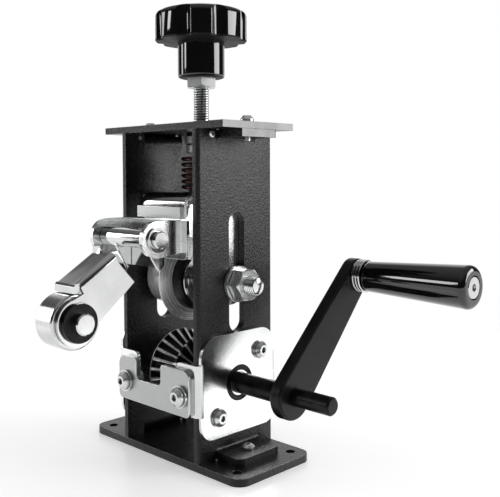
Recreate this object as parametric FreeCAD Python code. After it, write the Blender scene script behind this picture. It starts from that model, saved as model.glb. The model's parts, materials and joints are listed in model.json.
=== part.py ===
import FreeCAD, Part
import math
import os

# Hand crank wire stripper: a folded-plate tower on a bolted base.  A hand crank (or a drill on the
# shaft's free end) turns a toothed, grooved drive roller.  Above it a round blade runs on a cross bolt
# in a carrier that a star knob moves up and down the side plates' slots.  A hinged arm with a roller
# guides the wire in front.
#
# Frame, in millimetres: origin at the centre of the base plate's underside, +X along the crank shaft
# towards the crank, +Y the way the wire leaves, +Z up.

V = FreeCAD.Vector
TURN = 360.0

# ---- clearances -------------------------------------------------------------------------------
press_gap = 0.02        # ring or bush in its seat, radial
thread_gap = 0.05       # screw in its hole, running thread and journal, radial
run_gap = 0.3           # between faces that move past each other
pass_gap = 0.5          # screw shank through a loose hole, radial

# ---- base plate -------------------------------------------------------------------------------
base_length = 134.0
base_depth = 60.0
base_thick = 4.5
base_corner = 7.6
base_bolt_x = 114.0     # hole spacing along X
base_bolt_y = 44.0      # hole spacing along Y
base_bolt_r = 2.75

# ---- side plates ------------------------------------------------------------------------------
body_width = 70.5       # over the side plates' outer faces
plate_depth = 60.0
plate_thick = 4.5
plate_height = 188.0    # from the base plate's top to the top plate
plate_edge_r = 2.2      # rounded outer edge that the bearing bracket wraps
bend_r = 2.0            # inside bend radius of the tabs
relief = 0.4            # width of the cut beside a tab's bend
relief_depth = 0.5      # height of that cut above the bend line
foot_reach = 19.25      # how far the foot tab stands out of the plate
foot_half = 17.0
foot_corner = 5.0
tab_reach = 18.25
tab_half = 15.0
tab_corner = 2.0
slot_low = 75.6
slot_high = 145.2
slot_width = 12.5

# ---- top plate --------------------------------------------------------------------------------
top_length = 107.6
top_depth = 57.0
top_thick = 4.0

# ---- fasteners: head radius, head height, shank radius, washer radius, washer thickness --------
M2_5 = {"head_r": 2.2, "head_h": 1.5, "shank_r": 1.25, "washer_r": 3.0, "washer_t": 0.5, "nut": 5.0}
M4 = {"head_r": 3.7, "head_h": 2.4, "shank_r": 2.0, "washer_r": 4.5, "washer_t": 0.8, "nut": 7.0}
M4_CAP = {"head_r": 4.0, "head_h": 4.0, "shank_r": 2.0, "washer_r": 4.5, "washer_t": 0.8, "nut": 7.0}
M5 = {"head_r": 4.7, "head_h": 2.8, "shank_r": 2.5, "washer_r": 5.4, "washer_t": 1.0, "nut": 8.0}
M6 = {"head_r": 5.2, "head_h": 3.2, "shank_r": 3.0, "washer_r": 6.4, "washer_t": 1.5, "nut": 10.0}
socket_share = 0.42     # hex socket's across-corner radius as a share of the head's radius
foot_screw_x = 44.0
tab_bolt_x = 44.0
tab_bolt_end = 2.0      # how far the top bolts stand out under the tabs
plate_screw_y = -19.5
plate_screw_drop = 2.6  # below the top plate

# ---- bearing brackets -------------------------------------------------------------------------
bracket_t = 2.0
bracket_low = 17.3
bracket_high = 75.6
bracket_top_r = 12.5
bracket_bottom_r = 9.0
flange_low = 31.3
flange_high = 60.5
flange_length = 19.75   # from the bracket's outer face to the flange's free edge
flange_corner = 4.0
bracket_screws_yz = ((16.5, 62.6), (-17.0, 29.1))

# ---- guide plates -----------------------------------------------------------------------------
guide_t = 3.0
guide_half = 32.4
guide_low = 31.2
guide_high = 57.5
guide_corner_in = 2.0
guide_corner_out = 5.5
guide_corner_low = 3.0
notch_half = 11.4
notch_low = 45.0
notch_r = 3.0
guide_nut_gap = 0.75    # between a guide nut's flat and the side plate
guide_screw_z = 42.5

# ---- drive shaft, bearings and roller ----------------------------------------------------------
wire_x = -4.0           # plane in which the wire runs
shaft_z = 46.0
shaft_r = 6.0
bearing_r = 10.5
bearing_w = 5.0
ring_wall = 1.2         # wall of a bearing's inner and outer ring
bearing_lip = 1.5       # side plate left behind the bearing's outer ring
roller_r = 24.5
roller_left = 12.3      # width of the half roller on the crank's far side
roller_right = 11.0     # and of the one on its near side
groove_r = 16.0         # radius at the bottom of the V groove
groove_floor = 2.4      # width of the groove's flat bottom
rim_w = 1.4             # plain rim at each end of the toothed flanks
rim_chamfer = 0.5
tooth_count = 24
tooth_depth = 2.6       # at the rim; it shrinks with the radius towards the groove
tooth_gap_share = 0.6   # width of the gap between two teeth as a share of the pitch
spacer_r = 8.5
shank_r = 5.0           # free end that a drill chuck grips
shank_length = 25.6
shank_chamfer = 1.0
clip_t = 1.0
clip_r = 8.0

# ---- crank and grip ---------------------------------------------------------------------------
crank_x = 72.4          # crank arm's inner face
crank_t = 8.0
crank_length = 84.0     # shaft axis to grip axis
crank_tilt = 43.7       # degrees from +Z towards +Y
crank_hub_r = 13.0
crank_tip_r = 10.0
crank_edge_r = 1.6
spindle_r = 4.0
washer_count = 3
grip_washer_t = 2.0
grip_washer_r = 9.6
grip_length = 67.6
grip_root_r = 8.6
grip_end_r = 11.9
grip_round = 3.2
grip_screw_r = 6.3
grip_screw_t = 3.0

# ---- blade carrier ----------------------------------------------------------------------------
blade_z = 103.5
carrier_t = 2.0
carrier_top = 155.0     # upper face of the frame's top web
carrier_web_t = 3.0
carrier_half = 18.0     # half depth of the cheeks' upper part
lug_front = 27.5        # how far the cheeks reach forward to carry the arm bracket
lug_low = 119.0
lug_high = 132.0
lug_rear = 26.0         # how far the cheeks reach backward
lug_rear_high = 147.5
lug_flange = 7.0        # inward flange at the front of each cheek
cheek_r = 13.0          # rounded lower end round the cross bolt
cover_half = 20.0       # half width of the rounded cover
cover_t = 2.0
cover_depth = 23.5      # half depth of the cover
cover_low = 141.0
cover_r = 9.0
bar_t = 3.2
bar_low = 141.6
bar_high = 148.4

# ---- cross bolt and blade ---------------------------------------------------------------------
bolt_r = 5.0
bolt_end = 52.7         # half length of the cross bolt
bolt_washer_r = 10.5
bolt_washer_t = 2.0
nut_flat = 17.0         # across flats of an M10 nut
nut_t = 8.4
blade_r = 26.2
blade_t = 6.8           # thickness of the blade's flat body
blade_edge_t = 0.4
blade_bevel = 7.2       # depth of the ground bevel
blade_bore_r = 9.0
hub_r = 17.5
hub_chamfer = 2.0
flange_r = 19.0
blade_flange_t = 6.6
flange_edge = 1.2       # chamfer round the flange
flange_recess = 1.4     # depth of the flange's recess, in which the seal ring sits
recess_r = 16.4
seal_r = 15.7
seal_t = 1.8
seal_wall = 1.4         # width of the seal ring's raised rim
seal_web_t = 0.8
collar_r = 11.4
collar_t = 1.3
sleeve_r = 8.0
blade_bush_r = 7.0

# ---- pressure screw and knob ------------------------------------------------------------------
rod_y = 4.9
rod_r = 5.0
journal_r = 3.9         # turned end of the rod that turns in the carrier
thrust_r = 8.4
thrust_t = 4.0
rod_clip_r = 6.5
jam_rise = 23.5         # jam nut's underside above the top plate
jam_t = 6.0
knob_hub_high = 22.0
knob_hub_r = 14.4
knob_high = 22.3        # from the lobes' underside to the crown of the domed top
knob_dome_r = 77.0      # radius of the dome
knob_shoulder_r = 4.0   # round shoulder from the dome into the lobes' sides
knob_r = 28.0
knob_edge_r = 1.6
lobe_count = 8
scallop_r = 5.0
scallop_depth = 3.2
lobe_phase = -41.7      # degrees, direction of the first lobe
bush_r = 10.5
bush_high = 190.6
bush_t = 4.9
lock_nut_t = 5.3
bush_line = 0.2         # fine gap between bush and lock nut
rod_washer_r = 9.0

# ---- pressure spring --------------------------------------------------------------------------
spring_r = 11.7         # radius of the coil's centre line
spring_wire_r = 1.2
spring_turns = 6.0
spring_steps = 18       # facets per turn
spring_sides = 8        # sides of the faceted wire

# ---- arm bracket ------------------------------------------------------------------------------
arm_sheet = 2.8
ear_out = 24.8          # half distance over the ears' outer faces
ear_r = 10.3
pin_y = -47.3
pin_z = 131.1
back_half = 25.4
back_low = 118.8
back_t = 2.5
ear_bottom = 122.9
pin_r = 3.5
pin_head_r = 4.9
pin_head_t = 2.6
pin_washer_r = 7.0
pin_washer_t = 1.4

# ---- guide arm --------------------------------------------------------------------------------
barrel_r = 5.4
arm_t = 2.0
arm_half = 10.5         # half width over the arm's cheeks
arm_fold_r = 3.5        # outside radius of the folds along the arm's top web
arm_roller_y = -88.8
arm_roller_z = 89.1
arm_roller_r = 15.0
arm_roller_round = 1.2
arm_end_r = 12.6        # round end of the cheeks, about the roller's axis
arm_top_back = (-65.8, 124.6)   # (y, z) of the top web's upper face at its back end
arm_top_front = (-89.7, 109.5)  # and at its front end
arm_back_edge = ((-62.9, 118.9), (-57.9, 113.2), (-52.2, 107.1), (-59.4, 100.9), (-61.4, 99.7),
                 (-74.0, 89.3), (-78.0, 86.0))      # (y, z) from the top web down to the round end
arm_front_edge = ((-92.0, 101.2), (-85.2, 104.1), (-87.6, 108.4))   # and back up to the top web
arm_hollow_y = (-120.0, -40.0)  # how far the channel's hollow runs
arm_hollow_z = (60.0, 104.1, 118.9)
arm_tail = ((-64.4, 122.0), (-60.5, 124.3), (-53.6, 121.5), (-50.1, 121.3), (-42.4, 112.5), (-43.9, 110.2),
            (-46.5, 105.5), (-53.0, 102.5), (-59.4, 100.9), (-66.0, 108.0))
arm_lip_low = 104.6     # lower edge of the lip turned down in front of the roller
arm_lip_out = 1.4       # how far the lip bulges forward of the top web
arm_lip_t = 2.2
arm_tab_high = 128.6    # upper edge of the small tab turned up at the back end
arm_tab_right = -4.0
axle_r = 4.0
axle_washer_r = 10.5
axle_washer_t = 2.4
axle_head_r = 5.8
axle_head_t = 5.0
strut_t = 1.7
strut_left = -12.5
strut_gap = 0.7         # between the strut's right wall and the bracket's right ear
strut_wall = ((-4.7, -4.1), (0.0, 0.0), (7.9, -3.6), (7.9, -15.2), (4.2, -18.0), (-2.8, -7.3))
stop_screw_x = -3.0
stop_screw_high = 4.6   # its height above the back plate's lower edge

# ---- derived places ---------------------------------------------------------------------------
plate_out = body_width / 2
plate_in = plate_out - plate_thick
plate_low = base_thick
plate_top = base_thick + plate_height
bracket_out = plate_out + bracket_t
flange_reach = bracket_out - flange_length
flange_face = plate_depth / 2 + bracket_t
guide_face = flange_face + guide_t
guide_screw_x = plate_in - guide_nut_gap - M6["nut"] / 2
crank_face = crank_x + crank_t
grip_y = crank_length * math.sin(math.radians(crank_tilt))
grip_z = shaft_z + crank_length * math.cos(math.radians(crank_tilt))
grip_start = crank_face + washer_count * grip_washer_t + run_gap
grip_stop = grip_start + grip_length
carrier_out = plate_in - run_gap
carrier_in = carrier_out - carrier_t
cover_top = carrier_top + cover_t
bush_low = bush_high - bush_t
lock_nut_low = bush_low - bush_line - lock_nut_t
blade_set_end = wire_x + blade_t / 2 + blade_flange_t - flange_recess + seal_t
ear_left = wire_x - ear_out
ear_right = wire_x + ear_out
strut_right = ear_right - arm_sheet - strut_gap
jam_low = plate_top + top_thick + jam_rise
hub_low = jam_low + jam_t
knob_low = hub_low + knob_hub_high
knob_top = knob_low + knob_high


# ---- shape helpers ----------------------------------------------------------------------------
def box(x, y, z):
    """Box between the low and high value on each axis."""
    return Part.makeBox(x[1] - x[0], y[1] - y[0], z[1] - z[0], V(x[0], y[0], z[0]))


def rod_x(radius, low, high, y, z):
    return Part.makeCylinder(radius, high - low, V(low, y, z), V(1, 0, 0))


def rod_y_axis(radius, low, high, x, z):
    return Part.makeCylinder(radius, high - low, V(x, low, z), V(0, 1, 0))


def rod_z(radius, low, high, x, y):
    return Part.makeCylinder(radius, high - low, V(x, y, low), V(0, 0, 1))


def ring_x(outer, inner, low, high, y, z):
    return rod_x(outer, low, high, y, z).cut(rod_x(inner, low - 1, high + 1, y, z))


def ring_z(outer, inner, low, high, x, y):
    return rod_z(outer, low, high, x, y).cut(rod_z(inner, low - 1, high + 1, x, y))


def turned_x(profile, y, z):
    """Solid of revolution about an axis along X, from (x, radius) points."""
    points = [V(x, radius, 0) for x, radius in profile]
    face = Part.Face(Part.makePolygon(points + points[:1]))
    solid = face.revolve(V(0, 0, 0), V(1, 0, 0), TURN)
    solid.translate(V(0, y, z))
    return solid


def turned_z(profile, x, y):
    """Solid of revolution about a vertical axis, from (radius, z) points."""
    points = [V(radius, 0, z) for radius, z in profile]
    face = Part.Face(Part.makePolygon(points + points[:1]))
    solid = face.revolve(V(0, 0, 0), V(0, 0, 1), TURN)
    solid.translate(V(x, y, 0))
    return solid


def prism_x(outline, low, high):
    """Closed (y, z) outline drawn from x = low to x = high."""
    points = [V(low, y, z) for y, z in outline]
    face = Part.Face(Part.makePolygon(points + points[:1]))
    return face.extrude(V(high - low, 0, 0))


def hexagon(centre, direction, flat, length, corner):
    """Hexagonal prism; corner is the direction of one corner from the axis."""
    radius = flat / math.sqrt(3)
    side = direction.cross(corner)
    points = []
    for step in range(6):
        angle = math.radians(60 * step)
        points.append(centre + corner * (radius * math.cos(angle)) + side * (radius * math.sin(angle)))
    face = Part.Face(Part.makePolygon(points + points[:1]))
    return face.extrude(direction * length)


def rounded(solid, radius, axis, places):
    """Fillet the straight edges along an axis that pass through the given places."""
    chosen = []
    for edge in solid.Edges:
        if not isinstance(edge.Curve, Part.Line):
            continue
        if abs(abs(edge.tangentAt(edge.FirstParameter).dot(axis)) - 1) > 1e-6:
            continue
        middle = edge.CenterOfMass
        for place in places:
            offset = middle - place
            offset = offset - axis * offset.dot(axis)
            if offset.Length < 0.01:
                chosen.append(edge)
    return solid.makeFillet(radius, chosen)


def circle_edges(solid, radius, tolerance=0.01):
    """Edges that are circles of one radius."""
    found = []
    for edge in solid.Edges:
        if isinstance(edge.Curve, Part.Circle) and abs(edge.Curve.Radius - radius) < tolerance:
            found.append(edge)
    return found


def mirrored(solid):
    return solid.mirror(V(0, 0, 0), V(1, 0, 0))


def joined(solids):
    body = solids[0]
    for other in solids[1:]:
        body = body.fuse(other)
    return body.removeSplitter()


def screw(size, seat, direction, length):
    """Button head screw: seat is the centre of the head's underside, direction points out of the head."""
    head = Part.makeCylinder(size["head_r"], size["head_h"] * 0.5, seat, direction)
    crown = Part.makeCone(size["head_r"], size["head_r"] * 0.62, size["head_h"] * 0.5,
                          seat + direction * (size["head_h"] * 0.5), direction)
    shank = Part.makeCylinder(size["shank_r"], length, seat, -direction)
    body = joined([head, crown, shank])
    across = V(0, 0, 1) if abs(direction.z) < 0.5 else V(1, 0, 0)
    socket = hexagon(seat + direction * (size["head_h"] * 0.45), direction,
                     size["head_r"] * socket_share * math.sqrt(3), size["head_h"], across)
    return body.cut(socket)


def washer(radius, bore, thickness, seat, direction):
    ring = Part.makeCylinder(radius, thickness, seat, direction)
    return ring.cut(Part.makeCylinder(bore, thickness * 3, seat - direction * thickness, direction))


def hex_nut(flat, bore, thickness, seat, direction, corner):
    nut = hexagon(seat, direction, flat, thickness, corner)
    chamfer = Part.makeCone(flat / 2 + thickness, flat / 2 * 0.97, thickness * 1.02, seat, direction)
    nut = nut.common(chamfer)
    return nut.cut(Part.makeCylinder(bore, thickness * 3, seat - direction * thickness, direction))


def save(name, solids):
    if not isinstance(solids, (list, tuple)):
        solids = [solids]
    parts = []
    for item in solids:
        parts.extend(item.Solids)
    shape = parts[0] if len(parts) == 1 else Part.makeCompound(parts)
    shape.exportStep("parts/%s.step" % name)


# ---- frame ------------------------------------------------------------------------------------
def base_plate():
    half_x = base_length / 2
    half_y = base_depth / 2
    plate = box((-half_x, half_x), (-half_y, half_y), (0, base_thick))
    corners = [V(sx * half_x, sy * half_y, 0) for sx in (-1, 1) for sy in (-1, 1)]
    plate = rounded(plate, base_corner, V(0, 0, 1), corners)
    for sx in (-1, 1):
        for sy in (-1, 1):
            hole = rod_z(base_bolt_r, -1, base_thick + 1, sx * base_bolt_x / 2, sy * base_bolt_y / 2)
            plate = plate.cut(hole)
        plate = plate.cut(rod_z(M4["shank_r"] + thread_gap, -1, base_thick + 1, sx * foot_screw_x, 0))
    return plate


def bent_tab(reach, half, corner, fold, flat_low, flat_high):
    """Strip that turns from the side plate into an outward tab.

    fold is the height where the plate ends and the bend starts; flat_low and flat_high are the tab's
    lower and upper face.
    """
    up = 1 if fold > flat_low else -1
    near = flat_high if up == 1 else flat_low
    far = flat_low if up == 1 else flat_high
    centre = V(plate_out + bend_r, 0, fold)
    outer_r = bend_r + plate_thick
    slant = math.sqrt(0.5)
    outer_mid = centre + V(-outer_r * slant, 0, -up * outer_r * slant)
    inner_mid = centre + V(-bend_r * slant, 0, -up * bend_r * slant)
    tip = plate_out + reach
    edges = [
        Part.Arc(V(plate_in, 0, fold), outer_mid, V(centre.x, 0, far)).toShape(),
        Part.makeLine(V(centre.x, 0, far), V(tip, 0, far)),
        Part.makeLine(V(tip, 0, far), V(tip, 0, near)),
        Part.makeLine(V(tip, 0, near), V(centre.x, 0, near)),
        Part.Arc(V(centre.x, 0, near), inner_mid, V(plate_out, 0, fold)).toShape(),
        Part.makeLine(V(plate_out, 0, fold), V(plate_in, 0, fold)),
    ]
    face = Part.Face(Part.Wire(edges))
    face.translate(V(0, -half, 0))
    strip = face.extrude(V(0, 2 * half, 0))
    return rounded(strip, corner, V(0, 0, 1), [V(tip, -half, 0), V(tip, half, 0)])


def obround_cut(low, high, width):
    """Slot cutter through the side plate, rounded at both ends."""
    radius = width / 2
    x = (plate_in - 1, plate_out + 1)
    straight = box(x, (-radius, radius), (low + radius, high - radius))
    lower = rod_x(radius, x[0], x[1], 0, low + radius)
    upper = rod_x(radius, x[0], x[1], 0, high - radius)
    return joined([straight, lower, upper])


def side_plate():
    half = plate_depth / 2
    x = (plate_in, plate_out)
    plate = box(x, (-half, half), (plate_low, plate_top))
    plate = rounded(plate, plate_edge_r, V(0, 0, 1), [V(plate_out, -half, 0), V(plate_out, half, 0)])
    foot_fold = plate_low + plate_thick + bend_r
    tab_fold = plate_top - plate_thick - bend_r
    plate = plate.cut(box((plate_in - 1, plate_out + 1), (-foot_half - relief, foot_half + relief),
                          (plate_low - 1, foot_fold)))
    plate = plate.cut(box((plate_in - 1, plate_out + 1), (-tab_half - relief, tab_half + relief),
                          (tab_fold, plate_top + 1)))
    for side in (-1, 1):
        foot_edge = sorted((side * foot_half, side * (foot_half + relief)))
        tab_edge = sorted((side * tab_half, side * (tab_half + relief)))
        wide_x = (plate_in - 1, plate_out + 1)
        plate = plate.cut(box(wide_x, foot_edge, (plate_low - 1, foot_fold + relief_depth)))
        plate = plate.cut(box(wide_x, tab_edge, (tab_fold - relief_depth, plate_top + 1)))
    foot = bent_tab(foot_reach, foot_half, foot_corner, foot_fold, plate_low, plate_low + plate_thick)
    tab = bent_tab(tab_reach, tab_half, tab_corner, tab_fold, plate_top - plate_thick, plate_top)
    plate = joined([plate, foot, tab])
    plate = plate.cut(obround_cut(slot_low, slot_high, slot_width))
    plate = plate.cut(rod_x(bearing_r + press_gap, plate_in + bearing_lip, plate_out + 1, 0, shaft_z))
    plate = plate.cut(rod_x(bearing_r - ring_wall, plate_in - 1, plate_out, 0, shaft_z))
    for y, z in bracket_screws_yz:
        plate = plate.cut(rod_x(M5["shank_r"] + thread_gap, plate_in - 1, plate_out + 1, y, z))
    plate = plate.cut(rod_x(M2_5["shank_r"] + thread_gap, plate_in - 1, plate_out + 1, plate_screw_y,
                            plate_top - plate_screw_drop))
    plate = plate.cut(rod_z(M4["shank_r"] + thread_gap, 0, plate_low + plate_thick + 1, foot_screw_x, 0))
    plate = plate.cut(rod_z(M4["shank_r"] + thread_gap, plate_top - plate_thick - 1, plate_top + 1,
                            tab_bolt_x, 0))
    return plate


def foot_screws():
    seat_z = plate_low + plate_thick
    return [screw(M4, V(side * foot_screw_x, 0, seat_z), V(0, 0, 1), seat_z - 0.5) for side in (-1, 1)]


def plate_screws():
    z = plate_top - plate_screw_drop
    right = screw(M2_5, V(plate_out, plate_screw_y, z), V(1, 0, 0), plate_thick + 1.0)
    return [mirrored(right), right]


def top_plate():
    half_x = top_length / 2
    half_y = top_depth / 2
    plate = box((-half_x, half_x), (-half_y, half_y), (plate_top, plate_top + top_thick))
    plate = plate.cut(rod_z(rod_r + pass_gap, plate_top - 1, plate_top + top_thick + 1, 0, rod_y))
    for side in (-1, 1):
        plate = plate.cut(rod_z(M4["shank_r"] + thread_gap, plate_top - 1, plate_top + top_thick + 1,
                                side * tab_bolt_x, 0))
    return plate


def top_bolts():
    seat_z = plate_top + top_thick
    length = top_thick + plate_thick + tab_bolt_end
    return [screw(M4_CAP, V(side * tab_bolt_x, 0, seat_z), V(0, 0, 1), length) for side in (-1, 1)]


# ---- drive end --------------------------------------------------------------------------------
def bracket_profile():
    """Plan outline of the bend and flange at the front edge of the side plate."""
    half = plate_depth / 2
    centre = V(plate_out - bend_r, -half + bend_r, 0)
    outer_r = bend_r + bracket_t
    slant = math.sqrt(0.5)
    outer_mid = centre + V(outer_r * slant, -outer_r * slant, 0)
    inner_mid = centre + V(bend_r * slant, -bend_r * slant, 0)
    edges = [
        Part.makeLine(V(plate_out, centre.y, 0), V(bracket_out, centre.y, 0)),
        Part.Arc(V(bracket_out, centre.y, 0), outer_mid, V(centre.x, -flange_face, 0)).toShape(),
        Part.makeLine(V(centre.x, -flange_face, 0), V(flange_reach, -flange_face, 0)),
        Part.makeLine(V(flange_reach, -flange_face, 0), V(flange_reach, -half, 0)),
        Part.makeLine(V(flange_reach, -half, 0), V(centre.x, -half, 0)),
        Part.Arc(V(centre.x, -half, 0), inner_mid, V(plate_out, centre.y, 0)).toShape(),
    ]
    return Part.Face(Part.Wire(edges))


def bearing_bracket():
    half = plate_depth / 2
    web = box((plate_out, bracket_out), (-half, half), (bracket_low, bracket_high))
    x_axis = V(1, 0, 0)
    web = rounded(web, bracket_top_r, x_axis, [V(0, -half, bracket_high), V(0, half, bracket_high)])
    web = rounded(web, bracket_bottom_r, x_axis, [V(0, -half, bracket_low), V(0, half, bracket_low)])
    front = bracket_profile()
    front.translate(V(0, 0, flange_low))
    front = front.extrude(V(0, 0, flange_high - flange_low))
    free_corners = [V(flange_reach, 0, flange_low), V(flange_reach, 0, flange_high)]
    front = rounded(front, flange_corner, V(0, 1, 0), free_corners)
    back = front.mirror(V(0, 0, 0), V(0, 1, 0))
    for side in (-1, 1):
        edge_y = sorted((side * (half - bend_r), side * (half + 1)))
        web = web.cut(box((plate_out - 1, bracket_out + 1), edge_y, (flange_low, flange_high)))
    bracket = joined([web, front, back])
    bracket = bracket.cut(rod_x(bearing_r + press_gap, plate_out - 1, bracket_out + 1, 0, shaft_z))
    for y, z in bracket_screws_yz:
        bracket = bracket.cut(rod_x(M5["shank_r"] + thread_gap, plate_out - 1, bracket_out + 1, y, z))
    for side in (-1, 1):
        ends = sorted((side * (half - 1), side * (flange_face + 1)))
        bracket = bracket.cut(rod_y_axis(M6["shank_r"] + thread_gap, ends[0], ends[1],
                                         guide_screw_x, guide_screw_z))
    return bracket


def bracket_screws():
    solids = []
    for y, z in bracket_screws_yz:
        seat = V(bracket_out, y, z)
        ring = washer(M5["washer_r"], M5["shank_r"] + thread_gap, M5["washer_t"], seat, V(1, 0, 0))
        body = screw(M5, seat + V(M5["washer_t"], 0, 0), V(1, 0, 0),
                     M5["washer_t"] + bracket_t + plate_thick)
        solids += [ring, body, mirrored(ring), mirrored(body)]
    return solids


def guide_plate():
    """Notched plate in front of the bracket flanges, through which the wire is fed."""
    plate = box((-guide_half, guide_half), (-guide_face, -flange_face), (guide_low, guide_high))
    y_axis = V(0, 1, 0)
    plate = rounded(plate, guide_corner_out, y_axis, [V(guide_half, 0, guide_high),
                                                      V(-guide_half, 0, guide_high)])
    plate = rounded(plate, guide_corner_low, y_axis, [V(guide_half, 0, guide_low),
                                                      V(-guide_half, 0, guide_low)])
    left = wire_x - notch_half
    right = wire_x + notch_half
    notch = box((left, right), (-guide_face - 1, -flange_face + 1), (notch_low, guide_high + 1))
    notch = rounded(notch, notch_r, y_axis, [V(left, 0, notch_low), V(right, 0, notch_low)])
    plate = plate.cut(notch)
    plate = rounded(plate, guide_corner_in, y_axis, [V(left, 0, guide_high), V(right, 0, guide_high)])
    for side in (-1, 1):
        plate = plate.cut(rod_y_axis(M6["shank_r"] + thread_gap, -guide_face - 1, -flange_face + 1,
                                     side * guide_screw_x, guide_screw_z))
    return plate


def guide_screws():
    solids = []
    length = M6["washer_t"] + guide_t + bracket_t + 5.5
    for side_y in (-1, 1):
        out = V(0, side_y, 0)
        for side_x in (-1, 1):
            seat = V(side_x * guide_screw_x, side_y * guide_face, guide_screw_z)
            solids.append(washer(M6["washer_r"], M6["shank_r"] + thread_gap, M6["washer_t"], seat, out))
            solids.append(screw(M6, seat + out * M6["washer_t"], out, length))
    return solids


def guide_nuts():
    solids = []
    for side_y in (-1, 1):
        for side_x in (-1, 1):
            seat = V(side_x * guide_screw_x, side_y * plate_depth / 2, guide_screw_z)
            solids.append(hex_nut(M6["nut"], M6["shank_r"] + thread_gap, 4.6, seat, V(0, -side_y, 0),
                                  V(0, 0, 1)))
    return solids


def bearing_outers():
    """Outer rings and the shields that close the bearings."""
    low = bracket_out - bearing_w
    inner_ring_r = shaft_r + thread_gap + ring_wall
    outer = ring_x(bearing_r, bearing_r - ring_wall, low, bracket_out, 0, shaft_z)
    shield = ring_x(bearing_r - ring_wall, inner_ring_r + run_gap, low + 0.4, bracket_out - 0.4, 0, shaft_z)
    right = joined([outer, shield])
    return [mirrored(right), right]


def bearing_inners():
    low = bracket_out - bearing_w
    right = ring_x(shaft_r + thread_gap + ring_wall, shaft_r + thread_gap, low, bracket_out, 0, shaft_z)
    return [mirrored(right), right]


def drive_shaft():
    left = -bracket_out - run_gap - clip_t - 1.4
    stop = crank_face + shank_length
    groove = -bracket_out - run_gap
    profile = [
        (left, 0), (left, shaft_r - 0.6), (left + 0.6, shaft_r),
        (groove - clip_t, shaft_r), (groove - clip_t, shaft_r - 0.7), (groove, shaft_r - 0.7),
        (groove, shaft_r), (crank_face, shaft_r), (crank_face, shank_r),
        (stop - shank_chamfer, shank_r), (stop, shank_r - shank_chamfer), (stop, 0),
    ]
    return turned_x(profile, 0, shaft_z)


def shaft_clip():
    high = -bracket_out - run_gap
    ring = ring_x(clip_r, shaft_r - 0.7 + press_gap, high - clip_t, high, 0, shaft_z)
    mouth = box((high - clip_t - 1, high + 1), (-1.6, 1.6), (shaft_z - clip_r - 1, shaft_z))
    return ring.cut(mouth)


def drive_roller():
    """Two toothed half rollers, back to back on the shaft, that form a V groove between them."""
    low = wire_x - roller_left
    high = wire_x + roller_right
    bore = shaft_r + press_gap
    profile = [
        (low, bore), (low, roller_r - rim_chamfer), (low + rim_chamfer, roller_r), (low + rim_w, roller_r),
        (wire_x - groove_floor / 2, groove_r), (wire_x + groove_floor / 2, groove_r),
        (high - rim_w, roller_r), (high - rim_chamfer, roller_r), (high, roller_r - rim_chamfer), (high, bore),
    ]
    roller = turned_x(profile, 0, shaft_z)
    for flank in (-1, 1):
        for step in range(tooth_count):
            roller = roller.cut(tooth_gap(flank, TURN * step / tooth_count))
    across = (-roller_r - 1, roller_r + 1)
    height = (shaft_z - roller_r - 1, shaft_z + roller_r + 1)
    left = roller.common(box((low - 1, wire_x), across, height))
    right = roller.common(box((wire_x, high + 1), across, height))
    return [left, right]


def tooth_gap(flank, angle):
    """Flat-bottomed cutter that follows one flank of the groove, at one angle round the shaft."""
    width = roller_left if flank < 0 else roller_right
    start = wire_x + flank * groove_floor / 2
    stop = wire_x + flank * (width - rim_w)
    ends = []
    for x, radius in ((start, groove_r), (stop, roller_r)):
        deep = radius - tooth_depth * radius / roller_r
        half = math.pi * radius / tooth_count * tooth_gap_share
        top = radius + tooth_depth
        points = [V(x, -half, deep), V(x, half, deep), V(x, half, top), V(x, -half, top)]
        ends.append(Part.makePolygon(points + points[:1]))
    cutter = Part.makeLoft(ends, True, True)
    cutter.rotate(V(0, 0, 0), V(1, 0, 0), angle)
    cutter.translate(V(0, 0, shaft_z))
    return cutter


def roller_spacers():
    inner_face = bracket_out - bearing_w
    left = ring_x(spacer_r, shaft_r + press_gap, -inner_face, wire_x - roller_left, 0, shaft_z)
    right = ring_x(spacer_r, shaft_r + press_gap, wire_x + roller_right, inner_face, 0, shaft_z)
    return [left, right]


def crank_arm():
    """Tapered arm: two round ends joined by tangent flanks, with rounded edges."""
    hub = V(0, 0, 0)
    tip = V(0, 0, crank_length)
    lean = math.asin((crank_hub_r - crank_tip_r) / crank_length)
    points = []
    for centre, radius in ((hub, crank_hub_r), (tip, crank_tip_r)):
        for side in (-1, 1):
            points.append(centre + V(0, side * radius * math.cos(lean), radius * math.sin(lean)))
    hub_left, hub_right, tip_left, tip_right = points
    edges = [
        Part.Arc(hub_left, V(0, 0, -crank_hub_r), hub_right).toShape(),
        Part.makeLine(hub_right, tip_right),
        Part.Arc(tip_right, V(0, 0, crank_length + crank_tip_r), tip_left).toShape(),
        Part.makeLine(tip_left, hub_left),
    ]
    arm = Part.Face(Part.Wire(edges)).extrude(V(crank_t, 0, 0))
    rims = []
    for edge in arm.Edges:
        along = edge.BoundBox.XMax - edge.BoundBox.XMin
        if along < 0.01:
            rims.append(edge)
    arm = arm.makeFillet(crank_edge_r, rims)
    arm = arm.cut(rod_x(shaft_r + press_gap, -1, crank_t + 1, 0, 0))
    arm = arm.cut(rod_x(spindle_r + press_gap, -1, crank_t + 1, 0, crank_length))
    arm = arm.cut(Part.makeCylinder(M5["shank_r"] + thread_gap, crank_hub_r + 1, V(crank_t / 2, 0, 0),
                                    V(0, 0, -1)))
    arm.rotate(V(0, 0, 0), V(1, 0, 0), -crank_tilt)
    arm.translate(V(crank_x, 0, shaft_z))
    return arm


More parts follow.
